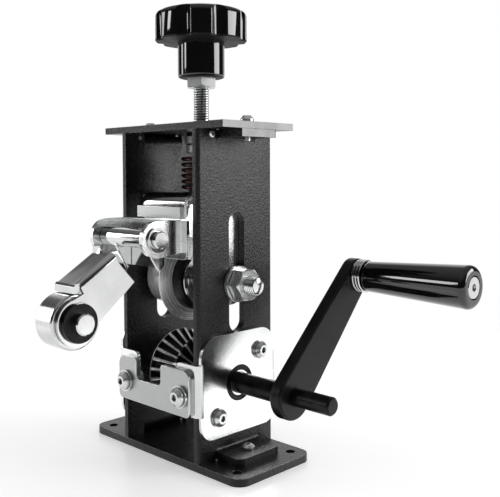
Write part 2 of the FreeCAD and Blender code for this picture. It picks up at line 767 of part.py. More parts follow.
def crank_set_screw():
    length = crank_hub_r - shaft_r - 1.2
    body = Part.makeCylinder(M5["shank_r"], length, V(crank_t / 2, 0, -shaft_r - 0.1), V(0, 0, -1))
    socket = hexagon(V(crank_t / 2, 0, -shaft_r - length - 0.1 + 2.0), V(0, 0, -1), 2.5, 3.0, V(1, 0, 0))
    body = body.cut(socket)
    body.rotate(V(0, 0, 0), V(1, 0, 0), -crank_tilt)
    body.translate(V(crank_x, 0, shaft_z))
    return body


def grip_spindle():
    head_face = grip_stop
    profile = [
        (crank_x, 0), (crank_x, spindle_r), (head_face - grip_screw_t, spindle_r),
        (head_face - grip_screw_t, grip_screw_r), (head_face - 0.6, grip_screw_r),
        (head_face, grip_screw_r - 0.6), (head_face, 0),
    ]
    spindle = turned_x(profile, grip_y, grip_z)
    socket = hexagon(V(head_face - 1.8, grip_y, grip_z), V(1, 0, 0), 4.0, 3.0, V(0, 0, 1))
    return spindle.cut(socket)


def grip_washers():
    rings = []
    for step in range(washer_count):
        low = crank_face + step * grip_washer_t
        ring = ring_x(grip_washer_r, spindle_r + thread_gap, low, low + grip_washer_t, grip_y, grip_z)
        rings.append(ring.makeChamfer(0.45, circle_edges(ring, grip_washer_r)))
    return rings


def crank_grip():
    """Tapered turning grip, rounded at both ends, with a recess for the spindle's head."""
    low = grip_start
    high = grip_stop
    bore = spindle_r + thread_gap
    edges = [
        Part.makeLine(V(low, bore, 0), V(low, grip_root_r - 1.2, 0)),
        Part.Arc(V(low, grip_root_r - 1.2, 0), V(low + 0.6, grip_root_r - 0.25, 0),
                 V(low + 2.4, grip_root_r + 0.3, 0)).toShape(),
        Part.makeLine(V(low + 2.4, grip_root_r + 0.3, 0), V(high - grip_round, grip_end_r, 0)),
        Part.Arc(V(high - grip_round, grip_end_r, 0),
                 V(high - grip_round * 0.25, grip_end_r - grip_round * 0.35, 0),
                 V(high, grip_end_r - grip_round, 0)).toShape(),
        Part.makeLine(V(high, grip_end_r - grip_round, 0), V(high, bore, 0)),
        Part.makeLine(V(high, bore, 0), V(low, bore, 0)),
    ]
    grip = Part.Face(Part.Wire(edges)).revolve(V(0, 0, 0), V(1, 0, 0), TURN)
    grip.translate(V(0, grip_y, grip_z))
    recess = rod_x(grip_screw_r + run_gap, high - grip_screw_t - run_gap, high + 1, grip_y, grip_z)
    return grip.cut(recess)


# ---- blade carrier ----------------------------------------------------------------------------
def cheek_outline():
    """Side view of a carrier cheek: top web, lugs front and rear, and a round end at the cross bolt."""
    drop = 4.0
    return [
        (-carrier_half, carrier_top), (-carrier_half, lug_high + drop), (-lug_front, lug_high),
        (-lug_front, lug_low), (-cheek_r, blade_z + drop), (-cheek_r, blade_z), (cheek_r, blade_z),
        (cheek_r, blade_z + drop), (lug_rear, lug_low + drop), (lug_rear, lug_rear_high),
        (carrier_half, lug_rear_high), (carrier_half, carrier_top),
    ]


def carrier_frame():
    web_half = cover_depth - cover_r
    web = box((-carrier_out, carrier_out), (-web_half, web_half), (carrier_top - carrier_web_t, carrier_top))
    solids = [web]
    for side in (-1, 1):
        low, high = sorted((side * carrier_in, side * carrier_out))
        solids.append(prism_x(cheek_outline(), low, high))
        solids.append(rod_x(cheek_r, low, high, 0, blade_z))
        flange_x = sorted((side * (carrier_out - lug_flange), side * carrier_out))
        solids.append(box(flange_x, (-lug_front, -lug_front + carrier_t), (lug_low, lug_high)))
    frame = joined(solids)
    frame = frame.cut(rod_x(bolt_r + press_gap, -carrier_out - 1, carrier_out + 1, 0, blade_z))
    return frame.cut(rod_z(journal_r + thread_gap, carrier_top - carrier_web_t - 1, carrier_top + 1,
                           0, rod_y))


def carrier_cover():
    """Rounded sheet cover that saddles the carrier's top web."""
    x = (wire_x - cover_half, wire_x + cover_half)
    outer = box(x, (-cover_depth, cover_depth), (cover_low, cover_top))
    outer = rounded(outer, cover_r, V(1, 0, 0), [V(0, -cover_depth, cover_top), V(0, cover_depth, cover_top)])
    inside = cover_depth - cover_t
    inner = box((x[0] - 1, x[1] + 1), (-inside, inside), (cover_low - 1, carrier_top))
    inner = rounded(inner, cover_r - cover_t, V(1, 0, 0),
                    [V(0, -inside, carrier_top), V(0, inside, carrier_top)])
    cover = outer.cut(inner)
    return cover.cut(rod_z(journal_r + thread_gap, carrier_top - 1, cover_top + 1, 0, rod_y))


def carrier_bar():
    x = (wire_x - cover_half, wire_x + cover_half)
    return box(x, (-cover_depth - bar_t, -cover_depth), (bar_low, bar_high))


def cross_bolt():
    chamfer = 1.0
    profile = [
        (-bolt_end, 0), (-bolt_end, bolt_r - chamfer), (-bolt_end + chamfer, bolt_r),
        (bolt_end - chamfer, bolt_r), (bolt_end, bolt_r - chamfer), (bolt_end, 0),
    ]
    return turned_x(profile, 0, blade_z)


def cross_bolt_washers():
    low = plate_out + run_gap
    right = ring_x(bolt_washer_r, bolt_r + press_gap, low, low + bolt_washer_t, 0, blade_z)
    return [mirrored(right), right]


def cross_bolt_nuts():
    low = plate_out + run_gap + bolt_washer_t
    right = hex_nut(nut_flat, bolt_r + press_gap, nut_t, V(low, 0, blade_z), V(1, 0, 0), V(0, 1, 0))
    return [mirrored(right), right]


def blade_disc():
    """Round blade, ground to an edge on both sides."""
    half = blade_t / 2
    edge = blade_edge_t / 2
    shoulder = blade_r - blade_bevel
    profile = [
        (wire_x - half, blade_bore_r), (wire_x - half, shoulder), (wire_x - edge, blade_r),
        (wire_x + edge, blade_r), (wire_x + half, shoulder), (wire_x + half, blade_bore_r),
    ]
    return turned_x(profile, 0, blade_z)


def blade_hub():
    """Clamp hub on the blade's left, with a spigot through the blade and a bush bore."""
    low = -carrier_in + run_gap
    face = wire_x - blade_t / 2
    spigot = wire_x + blade_t / 2
    bore = blade_bush_r + press_gap
    profile = [
        (low, bore), (low, hub_r - hub_chamfer), (low + hub_chamfer, hub_r), (face, hub_r),
        (face, blade_bore_r - press_gap), (spigot, blade_bore_r - press_gap), (spigot, bore),
    ]
    return turned_x(profile, 0, blade_z)


def blade_flange():
    """Clamp flange on the blade's right, recessed for the seal ring."""
    low = wire_x + blade_t / 2
    high = low + blade_flange_t
    floor = high - flange_recess
    bore = blade_bush_r + press_gap
    profile = [
        (low, bore), (low, flange_r), (high - flange_edge, flange_r), (high, flange_r - flange_edge),
        (high, recess_r), (floor, recess_r), (floor, bore),
    ]
    return turned_x(profile, 0, blade_z)


def blade_seal():
    """Seal ring in the flange's recess: a raised rim, a thin web and a collar on the bush."""
    low = wire_x + blade_t / 2 + blade_flange_t - flange_recess
    high = low + seal_t
    web = low + seal_web_t
    bore = blade_bush_r + press_gap
    profile = [
        (low, bore), (low, seal_r), (high - 0.3, seal_r), (high, seal_r - 0.3), (high, seal_r - seal_wall),
        (web, seal_r - seal_wall), (web, collar_r), (low + collar_t, collar_r), (low + collar_t, bore),
    ]
    return turned_x(profile, 0, blade_z)


def blade_bush():
    """Plain bush that turns on the cross bolt with the blade."""
    low = -carrier_in + run_gap
    high = blade_set_end
    return ring_x(blade_bush_r, bolt_r + thread_gap, low, high, 0, blade_z)


def blade_sleeve():
    """Fixed spacer between the blade set and the right cheek."""
    low = blade_set_end + run_gap
    return ring_x(sleeve_r, bolt_r + press_gap, low, carrier_in, 0, blade_z)


# ---- pressure screw ---------------------------------------------------------------------------
def threaded_rod():
    """Knob screw with a thrust collar above the carrier and a journal through its top web."""
    seat = cover_top + thread_gap
    journal_low = carrier_top - carrier_web_t - thread_gap - clip_t - 1.2
    groove = carrier_top - carrier_web_t - thread_gap
    top = knob_low + 6.0
    profile = [
        (0, journal_low), (journal_r - 0.5, journal_low), (journal_r, journal_low + 0.5),
        (journal_r, groove - clip_t), (journal_r - 0.6, groove - clip_t), (journal_r - 0.6, groove),
        (journal_r, groove), (journal_r, seat), (thrust_r, seat), (thrust_r, seat + thrust_t),
        (rod_r, seat + thrust_t), (rod_r, top), (0, top),
    ]
    return turned_z(profile, 0, rod_y)


def rod_clip():
    high = carrier_top - carrier_web_t - thread_gap
    ring = ring_z(rod_clip_r, journal_r - 0.6 + press_gap, high - clip_t, high, 0, rod_y)
    mouth = box((-1.2, 1.2), (rod_y - rod_clip_r - 1, rod_y), (high - clip_t - 1, high + 1))
    return ring.cut(mouth)


def knob_corner():
    angle = math.radians(lobe_phase)
    return V(math.cos(angle), math.sin(angle), 0)


def jam_nut():
    return hex_nut(nut_flat, rod_r + press_gap, jam_t, V(0, rod_y, jam_low + jam_t), V(0, 0, -1),
                   knob_corner())


def star_knob():
    """Lobed knob with a domed top, on a round hub, bored for the rod."""
    disc = rod_z(knob_r, knob_low, knob_top, 0, 0)
    reach = knob_r + scallop_r - scallop_depth
    for step in range(lobe_count):
        angle = math.radians(lobe_phase + (step + 0.5) * TURN / lobe_count)
        disc = disc.cut(rod_z(scallop_r, knob_low - 1, knob_top + 1,
                              reach * math.cos(angle), reach * math.sin(angle)))
    ridges = []
    for edge in disc.Edges:
        if edge.BoundBox.ZMax - edge.BoundBox.ZMin > knob_top - knob_low - 0.01 and \
                isinstance(edge.Curve, Part.Line):
            if abs(math.hypot(edge.CenterOfMass.x, edge.CenterOfMass.y) - knob_r) < 0.01:
                if len(edge.Vertexes) == 2 and not is_seam(edge, disc):
                    ridges.append(edge)
    disc = disc.makeFillet(knob_edge_r, ridges)
    disc = disc.makeChamfer(0.8, [edge for edge in disc.Edges if edge.BoundBox.ZMax < knob_low + 0.01])
    disc = disc.common(knob_dome())
    hub = rod_z(knob_hub_r, hub_low, knob_low + 1, 0, 0)
    hub = hub.makeFillet(1.8, [edge for edge in hub.Edges if abs(edge.BoundBox.ZMax - hub_low) < 0.01])
    knob = joined([disc, hub])
    knob = knob.cut(rod_z(rod_r + press_gap, hub_low - 1, knob_low + 6.0, 0, 0))
    knob.translate(V(0, rod_y, 0))
    return knob


def knob_dome():
    """Round body with the knob's dome and shoulder, which trims the lobes."""
    middle = knob_top - knob_dome_r
    edge_r = knob_r + 0.001
    inset = edge_r - knob_shoulder_r
    bend_z = middle + math.sqrt((knob_dome_r - knob_shoulder_r) ** 2 - inset ** 2)
    lean = math.asin(inset / (knob_dome_r - knob_shoulder_r))
    half = lean / 2
    turn = (math.pi / 2 + lean) / 2
    crown = V(0, 0, knob_top)
    on_dome = V(knob_dome_r * math.sin(half), 0, middle + knob_dome_r * math.cos(half))
    meet = V(knob_dome_r * math.sin(lean), 0, middle + knob_dome_r * math.cos(lean))
    on_bend = V(inset + knob_shoulder_r * math.sin(turn), 0, bend_z + knob_shoulder_r * math.cos(turn))
    rim = V(edge_r, 0, bend_z)
    floor = knob_low - 1
    edges = [
        Part.Arc(crown, on_dome, meet).toShape(), Part.Arc(meet, on_bend, rim).toShape(),
        Part.makeLine(rim, V(edge_r, 0, floor)), Part.makeLine(V(edge_r, 0, floor), V(0, 0, floor)),
        Part.makeLine(V(0, 0, floor), crown),
    ]
    return Part.Face(Part.Wire(edges)).revolve(V(0, 0, 0), V(0, 0, 1), TURN)


def is_seam(edge, solid):
    """True for the closing line of a round face, which no second face shares."""
    count = 0
    for face in solid.Faces:
        for other in face.Edges:
            if other.isSame(edge):
                count += 1
                break
    return count < 2


def feed_bush():
    """Threaded bush under the top plate; its spigot is pressed into the plate."""
    body = ring_z(bush_r, rod_r + thread_gap, bush_low, bush_high, 0, rod_y)
    return body.makeChamfer(0.5, circle_edges(body, bush_r))


def lock_nut():
    body = ring_z(bush_r - 0.8, rod_r + thread_gap, lock_nut_low, lock_nut_low + lock_nut_t, 0, rod_y)
    return body.makeChamfer(0.5, circle_edges(body, bush_r - 0.8))


def rod_washer():
    return ring_z(rod_washer_r, rod_r + thread_gap, bush_high, plate_top, 0, rod_y)


def pressure_spring():
    """Coil spring between the lock nut and the carrier's cover, as a coil of small flat facets."""
    low = cover_top + spring_wire_r + thread_gap
    high = lock_nut_low - spring_wire_r - thread_gap
    count = int(round(spring_turns * spring_steps))
    rings = []
    for step in range(count + 1):
        turn = 2 * math.pi * spring_turns * step / count
        out = V(math.cos(turn), math.sin(turn), 0)
        centre = V(0, rod_y, low + (high - low) * step / count) + out * spring_r
        ring = []
        for side in range(spring_sides):
            angle = 2 * math.pi * (side + 0.5) / spring_sides
            ring.append(centre + out * (spring_wire_r * math.cos(angle)) +
                        V(0, 0, spring_wire_r * math.sin(angle)))
        rings.append(ring)
    triangles = []
    for first, second in zip(rings, rings[1:]):
        for side in range(spring_sides):
            after = (side + 1) % spring_sides
            triangles.append((first[side], first[after], second[after]))
            triangles.append((first[side], second[after], second[side]))
    faces = [Part.Face(Part.makePolygon([a, b, c, a])) for a, b, c in triangles]
    for ring in (rings[0], rings[-1]):
        faces.append(Part.Face(Part.makePolygon(ring + ring[:1])))
    shell = Part.makeShell(faces)
    shell.sewShape()
    return Part.makeSolid(Part.Shell(shell.Faces))


# ---- arm bracket ------------------------------------------------------------------------------
def ear(low, high):
    """Ear round the pivot pin, widening into the back plate."""
    root = -lug_front - back_t
    top = pin_z + ear_r
    outline = [
        (root, top), (pin_y, top), (pin_y, pin_z - ear_r), (pin_y + 2.0, pin_z - ear_r),
        (root, ear_bottom),
    ]
    return joined([prism_x(outline, low, high), rod_x(ear_r, low, high, pin_y, pin_z)])


def arm_bracket():
    root = -lug_front - back_t
    plate = box((ear_left, back_half), (root, -lug_front), (back_low, pin_z + ear_r - 0.4))
    plate = rounded(plate, 3.0, V(0, 1, 0), [V(back_half, 0, back_low), V(ear_left, 0, back_low)])
    left = ear(ear_left, ear_left + arm_sheet)
    right = ear(ear_right - arm_sheet, ear_right)
    bracket = joined([plate, left, right])
    bracket = bracket.cut(rod_x(pin_r + press_gap, ear_left - 1, ear_right + 1, pin_y, pin_z))
    hole = rod_y_axis(M5["shank_r"] + thread_gap, root - 1, -lug_front + 1, stop_screw_x, stop_screw_z())
    return bracket.cut(hole)


def stop_screw_z():
    return back_low + stop_screw_high


def pivot_pin():
    low = ear_left - pin_washer_t - pin_head_t
    high = ear_right + pin_washer_t
    profile = [
        (low, 0), (low, pin_r - 0.5), (low + 0.5, pin_r), (high, pin_r), (high, pin_head_r),
        (high + pin_head_t - 0.6, pin_head_r), (high + pin_head_t, pin_head_r - 0.6),
        (high + pin_head_t, 0),
    ]
    return turned_x(profile, pin_y, pin_z)


def pin_washers():
    rings = []
    for low in (ear_left - pin_washer_t, ear_right):
        rings.append(ring_x(pin_washer_r, pin_r + press_gap, low, low + pin_washer_t, pin_y, pin_z))
    return rings


def pin_clip():
    low = ear_left - pin_washer_t - clip_t
    return ring_x(pin_head_r, pin_r + press_gap, low, low + clip_t, pin_y, pin_z)


# ---- guide arm --------------------------------------------------------------------------------
def arm_barrel():
    low = ear_left + arm_sheet + run_gap
    high = ear_right - arm_sheet - run_gap
    return ring_x(barrel_r, pin_r + thread_gap, low, high, pin_y, pin_z)


def arm_strut():
    """Short channel welded under the barrel; its left wall carries the arm, its back meets the stop.

    The points of strut_wall are (y, z) from the pivot pin's axis; the third and fourth are the back.
    """
    wall = [(pin_y + y, pin_z + z) for y, z in strut_wall]
    top, low = wall[2], wall[3]
    web = [(top[0] - strut_t, top[1]), top, low, (low[0] - strut_t, low[1] - strut_t * 0.75)]
    body = joined([
        prism_x(wall, strut_left, strut_left + strut_t),
        prism_x(wall, strut_right - strut_t, strut_right),
        prism_x(web, strut_left, strut_right),
    ])
    return body.cut(rod_x(barrel_r + press_gap, strut_left - 1, strut_right + 1, pin_y, pin_z))


def arm_outline(sunk):
    """Side view of the arm's channel: top web, broad back and the way down to the roller's axis.

    sunk is how far the top web's line is moved down, square to itself.
    """
    back = V(0, arm_top_back[0], arm_top_back[1])
    front = V(0, arm_top_front[0], arm_top_front[1])
    along = (front - back).normalize()
    down = V(0, -along.z, along.y) * sunk
    back = back + down
    front = front + down
    corners = [(back.y, back.z)] + list(arm_back_edge) + [(arm_roller_y, arm_roller_z)]
    return corners + list(arm_front_edge) + [(front.y, front.z)]


def guide_arm():
    """Folded arm: two cheeks under a top web, a lip and a tab at its ends, and a tail on the left cheek."""
    low = wire_x - arm_half
    high = wire_x + arm_half
    outside = prism_x(arm_outline(0), low, high)
    fold = V(0, arm_top_front[0] - arm_top_back[0], arm_top_front[1] - arm_top_back[1]).normalize()
    corners = [V(x, arm_top_back[0], arm_top_back[1]) for x in (low, high)]
    outside = rounded(outside, arm_fold_r, fold, corners)
    for x in ((low, low + arm_t), (high - arm_t, high)):
        outside = outside.fuse(rod_x(arm_end_r, x[0], x[1], arm_roller_y, arm_roller_z))
    sunk = arm_outline(arm_t)
    inner = [
        sunk[0], (arm_hollow_y[1], arm_hollow_z[2]), (arm_hollow_y[1], arm_hollow_z[0]),
        (arm_hollow_y[0], arm_hollow_z[0]), (arm_hollow_y[0], arm_hollow_z[1]), sunk[-1],
    ]
    inner_low = low + arm_t
    inner_high = high - arm_t
    hollow = prism_x(inner, inner_low, inner_high)
    corners = [V(x, sunk[0][0], sunk[0][1]) for x in (inner_low, inner_high)]
    hollow = rounded(hollow, arm_fold_r - arm_t, fold, corners)
    arm = outside.cut(hollow)
    front_y, front_z = arm_top_front
    nose_y = front_y - arm_lip_out
    lip = [
        (front_y, front_z), (nose_y + 0.6, front_z - 0.4), (nose_y, front_z - 1.4), (nose_y, arm_lip_low),
        (nose_y + arm_lip_t, arm_lip_low), (front_y + arm_lip_t, front_z - arm_t),
        (front_y + arm_lip_t, front_z + 0.4),
    ]
    tab = [
        (arm_top_back[0], arm_top_back[1] - 1.0), (arm_top_back[0], arm_tab_high),
        (arm_top_back[0] - arm_t, arm_tab_high - 1.2), (arm_top_back[0] - arm_t, arm_top_back[1] - 2.2),
    ]
    arm = joined([arm, prism_x(lip, low + arm_t, high - arm_t * 0.25),
                  prism_x(tab, low + arm_fold_r, arm_tab_right), prism_x(arm_tail, low, low + arm_t)])
    return arm.cut(rod_x(axle_r + press_gap, low - 1, high + 1, arm_roller_y, arm_roller_z))


def arm_roller():
    """Guide roller with rounded rims and a plain bush bore."""
    low = wire_x - arm_half + arm_t + run_gap
    high = wire_x + arm_half - arm_t - run_gap
    roller = ring_x(arm_roller_r, axle_r + thread_gap, low, high, arm_roller_y, arm_roller_z)
    return roller.makeFillet(arm_roller_round, circle_edges(roller, arm_roller_r))


def roller_axle():
    low = wire_x - arm_half - clip_t - 1.2
    washer_face = wire_x + arm_half + axle_washer_t
    high = washer_face + axle_head_t
    profile = [
        (low, 0), (low, axle_r - 0.5), (low + 0.5, axle_r), (washer_face, axle_r),
        (washer_face, axle_head_r), (high - 0.7, axle_head_r), (high, axle_head_r - 0.7), (high, 0),
    ]
    return turned_x(profile, arm_roller_y, arm_roller_z)


def axle_washer():
    low = wire_x + arm_half
    return ring_x(axle_washer_r, axle_r + press_gap, low, low + axle_washer_t, arm_roller_y, arm_roller_z)


def axle_clip():
    high = wire_x - arm_half
    return ring_x(axle_head_r, axle_r + press_gap, high - clip_t, high, arm_roller_y, arm_roller_z)


def stop_screw():
    """Screw in the bracket's back plate on which the strut's heel rests."""
    root = -lug_front - back_t
    z = stop_screw_z()
    body = rod_y_axis(M5["shank_r"], pin_y + strut_wall[2][0] + run_gap, -lug_front + 1.0, stop_screw_x, z)
    nut = hex_nut(M5["nut"], M5["shank_r"] + thread_gap, 3.5, V(stop_screw_x, root, z), V(0, -1, 0),
                  V(0, 0, 1))
    return [body, nut]


# ---- all nodes --------------------------------------------------------------------------------
def main():
    os.makedirs("parts", exist_ok=True)
    right_plate = side_plate()
    right_bracket = bearing_bracket()
    front_guide = guide_plate()
    pieces = {
        "base_plate": base_plate(),
        "side_plate_left": mirrored(right_plate),
        "side_plate_right": right_plate,
        "foot_screws": foot_screws(),
        "plate_screws": plate_screws(),
        "top_plate": top_plate(),
        "top_bolts": top_bolts(),
        "bearing_bracket_left": mirrored(right_bracket),
        "bearing_bracket_right": right_bracket,
        "bracket_screws": bracket_screws(),
        "guide_plate_front": front_guide,
        "guide_plate_rear": front_guide.mirror(V(0, 0, 0), V(0, 1, 0)),
        "guide_screws": guide_screws(),
        "guide_nuts": guide_nuts(),
        "shaft_bearing_outers": bearing_outers(),
        "shaft_bearing_inners": bearing_inners(),
        "drive_shaft": drive_shaft(),
        "shaft_clip": shaft_clip(),
        "drive_roller": drive_roller(),
        "roller_spacers": roller_spacers(),
        "crank_arm": crank_arm(),
        "crank_set_screw": crank_set_screw(),
        "grip_spindle": grip_spindle(),
        "grip_washers": grip_washers(),
        "crank_grip": crank_grip(),
        "carrier_frame": carrier_frame(),
        "carrier_cover": carrier_cover(),
        "carrier_bar": carrier_bar(),
        "cross_bolt": cross_bolt(),
        "cross_bolt_washers": cross_bolt_washers(),
        "cross_bolt_nuts": cross_bolt_nuts(),
        "blade_disc": blade_disc(),
        "blade_hub": blade_hub(),
        "blade_flange": blade_flange(),
        "blade_seal": blade_seal(),
        "blade_bush": blade_bush(),
        "blade_sleeve": blade_sleeve(),
        "threaded_rod": threaded_rod(),
        "rod_clip": rod_clip(),
        "jam_nut": jam_nut(),
        "star_knob": star_knob(),
        "feed_bush": feed_bush(),
        "lock_nut": lock_nut(),
        "rod_washer": rod_washer(),
        "pressure_spring": pressure_spring(),
        "arm_bracket": arm_bracket(),
        "pivot_pin": pivot_pin(),
        "pin_washers": pin_washers(),
        "pin_clip": pin_clip(),
        "stop_screw": stop_screw(),
        "arm_barrel": arm_barrel(),
        "arm_strut": arm_strut(),
        "guide_arm": guide_arm(),
        "arm_roller": arm_roller(),
        "roller_axle": roller_axle(),
        "axle_washer": axle_washer(),
        "axle_clip": axle_clip(),
    }
    for name, solids in pieces.items():
        save(name, solids)


main()
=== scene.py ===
import json
import math

import bmesh
import bpy
from bpy.props import FloatProperty, FloatVectorProperty, IntProperty, PointerProperty
from bpy.types import Operator, Panel, PropertyGroup
from mathutils import Matrix, Vector


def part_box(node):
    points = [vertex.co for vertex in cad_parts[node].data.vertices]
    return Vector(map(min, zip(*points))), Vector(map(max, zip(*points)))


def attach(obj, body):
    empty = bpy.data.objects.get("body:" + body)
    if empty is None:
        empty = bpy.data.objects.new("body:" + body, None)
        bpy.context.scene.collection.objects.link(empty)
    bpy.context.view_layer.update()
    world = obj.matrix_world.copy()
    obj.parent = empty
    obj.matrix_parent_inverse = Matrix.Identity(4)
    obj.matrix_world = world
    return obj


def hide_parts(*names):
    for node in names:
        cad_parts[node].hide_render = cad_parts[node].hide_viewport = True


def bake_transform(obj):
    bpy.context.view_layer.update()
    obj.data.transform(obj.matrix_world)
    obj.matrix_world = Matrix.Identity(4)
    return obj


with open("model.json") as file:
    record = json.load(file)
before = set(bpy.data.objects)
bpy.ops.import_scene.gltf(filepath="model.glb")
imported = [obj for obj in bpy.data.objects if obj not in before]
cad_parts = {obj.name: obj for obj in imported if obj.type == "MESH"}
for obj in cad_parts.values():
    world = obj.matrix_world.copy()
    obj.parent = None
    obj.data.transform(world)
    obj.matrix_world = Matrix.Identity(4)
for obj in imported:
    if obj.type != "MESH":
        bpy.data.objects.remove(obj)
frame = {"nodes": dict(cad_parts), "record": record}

bl_info = {
    "name": "Hand crank wire stripper",
    "version": (1, 0, 0),
    "blender": (4, 5, 0),
    "location": "3D View > Sidebar > Wire stripper",
    "description": "Dresses the packed wire stripper with finishes, threads and a spring",
    "category": "Object",
}

NODES = frame["nodes"]
BODIES = frame["record"]["behaviour"]["bodies"]
BODY_OF = {node: body for body, nodes in BODIES.items() for node in nodes}
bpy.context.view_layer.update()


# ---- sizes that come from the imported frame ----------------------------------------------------
ROD_LOW, ROD_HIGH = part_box("threaded_rod")
BOLT_LOW, BOLT_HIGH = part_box("cross_bolt")
SPRING_LOW, SPRING_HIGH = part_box("pressure_spring")
SHAFT_LOW, SHAFT_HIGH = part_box("drive_shaft")
ROD_Y = (ROD_LOW.y + ROD_HIGH.y) / 2
BOLT_Z = (BOLT_LOW.z + BOLT_HIGH.z) / 2
SHAFT_Z = (SHAFT_LOW.z + SHAFT_HIGH.z) / 2
COVER_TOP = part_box("carrier_cover")[1].z
ROLLER_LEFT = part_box("drive_roller")[0].x
TOP_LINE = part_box("feed_bush")[0].z    # the top plate and the top tabs lie above this height

# ---- fixed numbers, in metres where they are lengths ------------------------------------------
CREASE = math.radians(38.0)            # edges sharper than this are rounded
FLAT = math.radians(0.4)               # faces that meet flatter than this are joined first
DOUBLES = 0.000002                     # points closer than this are one point
LATHE_CREASE = math.radians(40.0)      # edges of turned pieces sharper than this stay sharp
LATHE_STEPS = 96                       # facets round a turned piece
THREAD_RADIUS = 0.005                  # outer radius of both threads
THREAD_ROWS = 8                        # rows of faces in one pitch of a thread
WIRE_SIDES = 14                        # facets round the spring's wire
FLOOR_HALF = 3.0                       # half the floor's width
FLOOR_FADE = (0.16, 0.50)              # the floor turns white between these distances from the part
LAMP_TARGET = (0, 0, 0.12)
LAMPS = (                              # name of the power in the stage settings, size, place
    ("panel", (0.60, 0.54), (0.84, 0.70, 0.39)),
    ("strip", (0.20, 0.56), (-0.95, -0.60, 0.33)),
    ("rim", (0.17, 0.24), (-0.64, -0.91, 0.46)),
    ("top", (0.80, 0.80), (0.10, 0.10, 1.20)),
)


# ---- settings ---------------------------------------------------------------------------------
def colour(name, text, value):
    return FloatVectorProperty(name=name, description=text, default=value, subtype="COLOR", size=3,
                               min=0.0, max=1.0)


def length(name, text, value):
    return FloatProperty(name=name, description=text, default=value, unit="LENGTH", subtype="DISTANCE",
                         min=0.0, precision=5)


def share(name, text, value):
    return FloatProperty(name=name, description=text, default=value, subtype="FACTOR", min=0.0, max=1.0)


def angle(name, text, degrees):
    return FloatProperty(name=name, description=text, default=math.radians(degrees), unit="ROTATION",
                         subtype="ANGLE")


class CoatSettings(PropertyGroup):
    plate: colour("Plate coat", "Colour of the powder coat on base, side and top plates",
                  (0.0045, 0.0048, 0.0048))
    fleck: colour("Fleck", "Colour of the fine light grain in the powder coat", (0.030, 0.0315, 0.031))
    # The rim colour is partly a painted highlight along the plates' edges.
    rim: colour("Rim", "Colour of the thin, worn coat along the plates' edges", (0.30, 0.31, 0.305))
    crank: colour("Crank coat", "Colour of the satin coat on the crank arm", (0.003, 0.003, 0.0032))
    grain: length("Grain", "Size of one grain of the powder coat", 0.0013)
    edge: length("Edge", "Rounding of the plates' cut edges", 0.0005)


class MetalSettings(PropertyGroup):
    zinc: colour("Zinc", "Colour of the zinc plated brackets and screws", (0.78, 0.79, 0.79))
    guide: colour("Guide steel", "Colour of the satin guide plates", (0.44, 0.455, 0.445))
    polish: colour("Polished steel", "Colour of the polished parts", (0.72, 0.725, 0.725))
    tool: colour("Tool steel", "Colour of the roller, spacers and blade", (0.62, 0.62, 0.62))
    # This colour is dark oxide on most dark parts and painted shade on the bearing outer rings.
    dark: colour("Dark oxide", "Colour of the darkened parts", (0.012, 0.012, 0.013))
    spring: colour("Spring steel", "Colour of the pressure spring", (0.040, 0.018, 0.018))
    edge: length("Edge", "Rounding of sheet metal edges", 0.0003)
    teeth: IntProperty(name="Teeth", description="Teeth round the drive roller", default=24, min=3)
    # The tooth gaps are painted dark on the roller as painted shade.
    tooth_gap: share("Tooth gap", "Width of the gap between two teeth as a share of the pitch", 0.72)
    tooth_rim: length("Tooth rim", "Plain rim beside the teeth of the drive roller", 0.0012)


class PlasticSettings(PropertyGroup):
    black: colour("Black", "Colour of the knob and the grip", (0.002, 0.002, 0.0022))
    edge: length("Edge", "Rounding of the knob's edges", 0.0006)


class ThreadSettings(PropertyGroup):
    pitch: length("Pitch", "Pitch of the M10 threads", 0.0015)
    depth: length("Depth", "Depth of the thread", 0.00085)
    steps: IntProperty(name="Steps", description="Facets in one turn of the thread", default=40, min=12)
    bolt_length: length("Bolt thread", "Threaded length at each end of the cross bolt", 0.0165)


class SpringSettings(PropertyGroup):
    wire: length("Wire", "Radius of the spring's wire", 0.0012)
    turns: FloatProperty(name="Turns", description="Number of turns of the spring", default=6.0, min=1.0)
    steps: IntProperty(name="Steps", description="Points along one turn", default=40, min=8)


class StageSettings(PropertyGroup):
    floor: colour("Floor", "Colour of the floor", (0.90, 0.90, 0.90))
    floor_lift: FloatProperty(name="Floor lift", description="Own light of the floor to the eye",
                              default=0.30, min=0.0)
    panel: FloatProperty(name="Right panel", description="Power of the broad lamp on the crank's side",
                         default=6.4, min=0.0, unit="POWER")
    strip: FloatProperty(name="Left strip", description="Power of the narrow lamp on the arm's side",
                         default=1.5, min=0.0, unit="POWER")
    rim: FloatProperty(name="Rim strip", description="Power of the lamp beside the left strip",
                       default=0.9, min=0.0, unit="POWER")
    top: FloatProperty(name="Top lamp", description="Power of the lamp above", default=1.2, min=0.0,
                       unit="POWER")
    sky: FloatProperty(name="Surround", description="Strength of the surround on matt surfaces",
                       default=0.55, min=0.0)
    dark: FloatProperty(name="Dark side", description="Brightness of the dark side in reflections",
                        default=0.03, min=0.0)
    ceiling: FloatProperty(name="Ceiling", description="Brightness of the ceiling in reflections",
                           default=0.30, min=0.0)
    camera: FloatVectorProperty(name="Camera", description="Place of the camera", subtype="TRANSLATION",
                                unit="LENGTH", default=(0.348447, -0.309562, 0.166323), precision=4)
    azimuth: angle("Azimuth", "Turn of the camera round the part", 44.452)
    pitch: angle("Pitch", "How far the camera looks down", 1.851)
    roll: angle("Roll", "Tilt of the camera", -0.2146)
    lens: FloatProperty(name="Lens", description="Focal length in millimetres", default=54.70, min=1.0)
    shift: FloatVectorProperty(name="Shift", description="Lens shift across and up", size=2,
                               default=(0.0035, -0.0968))


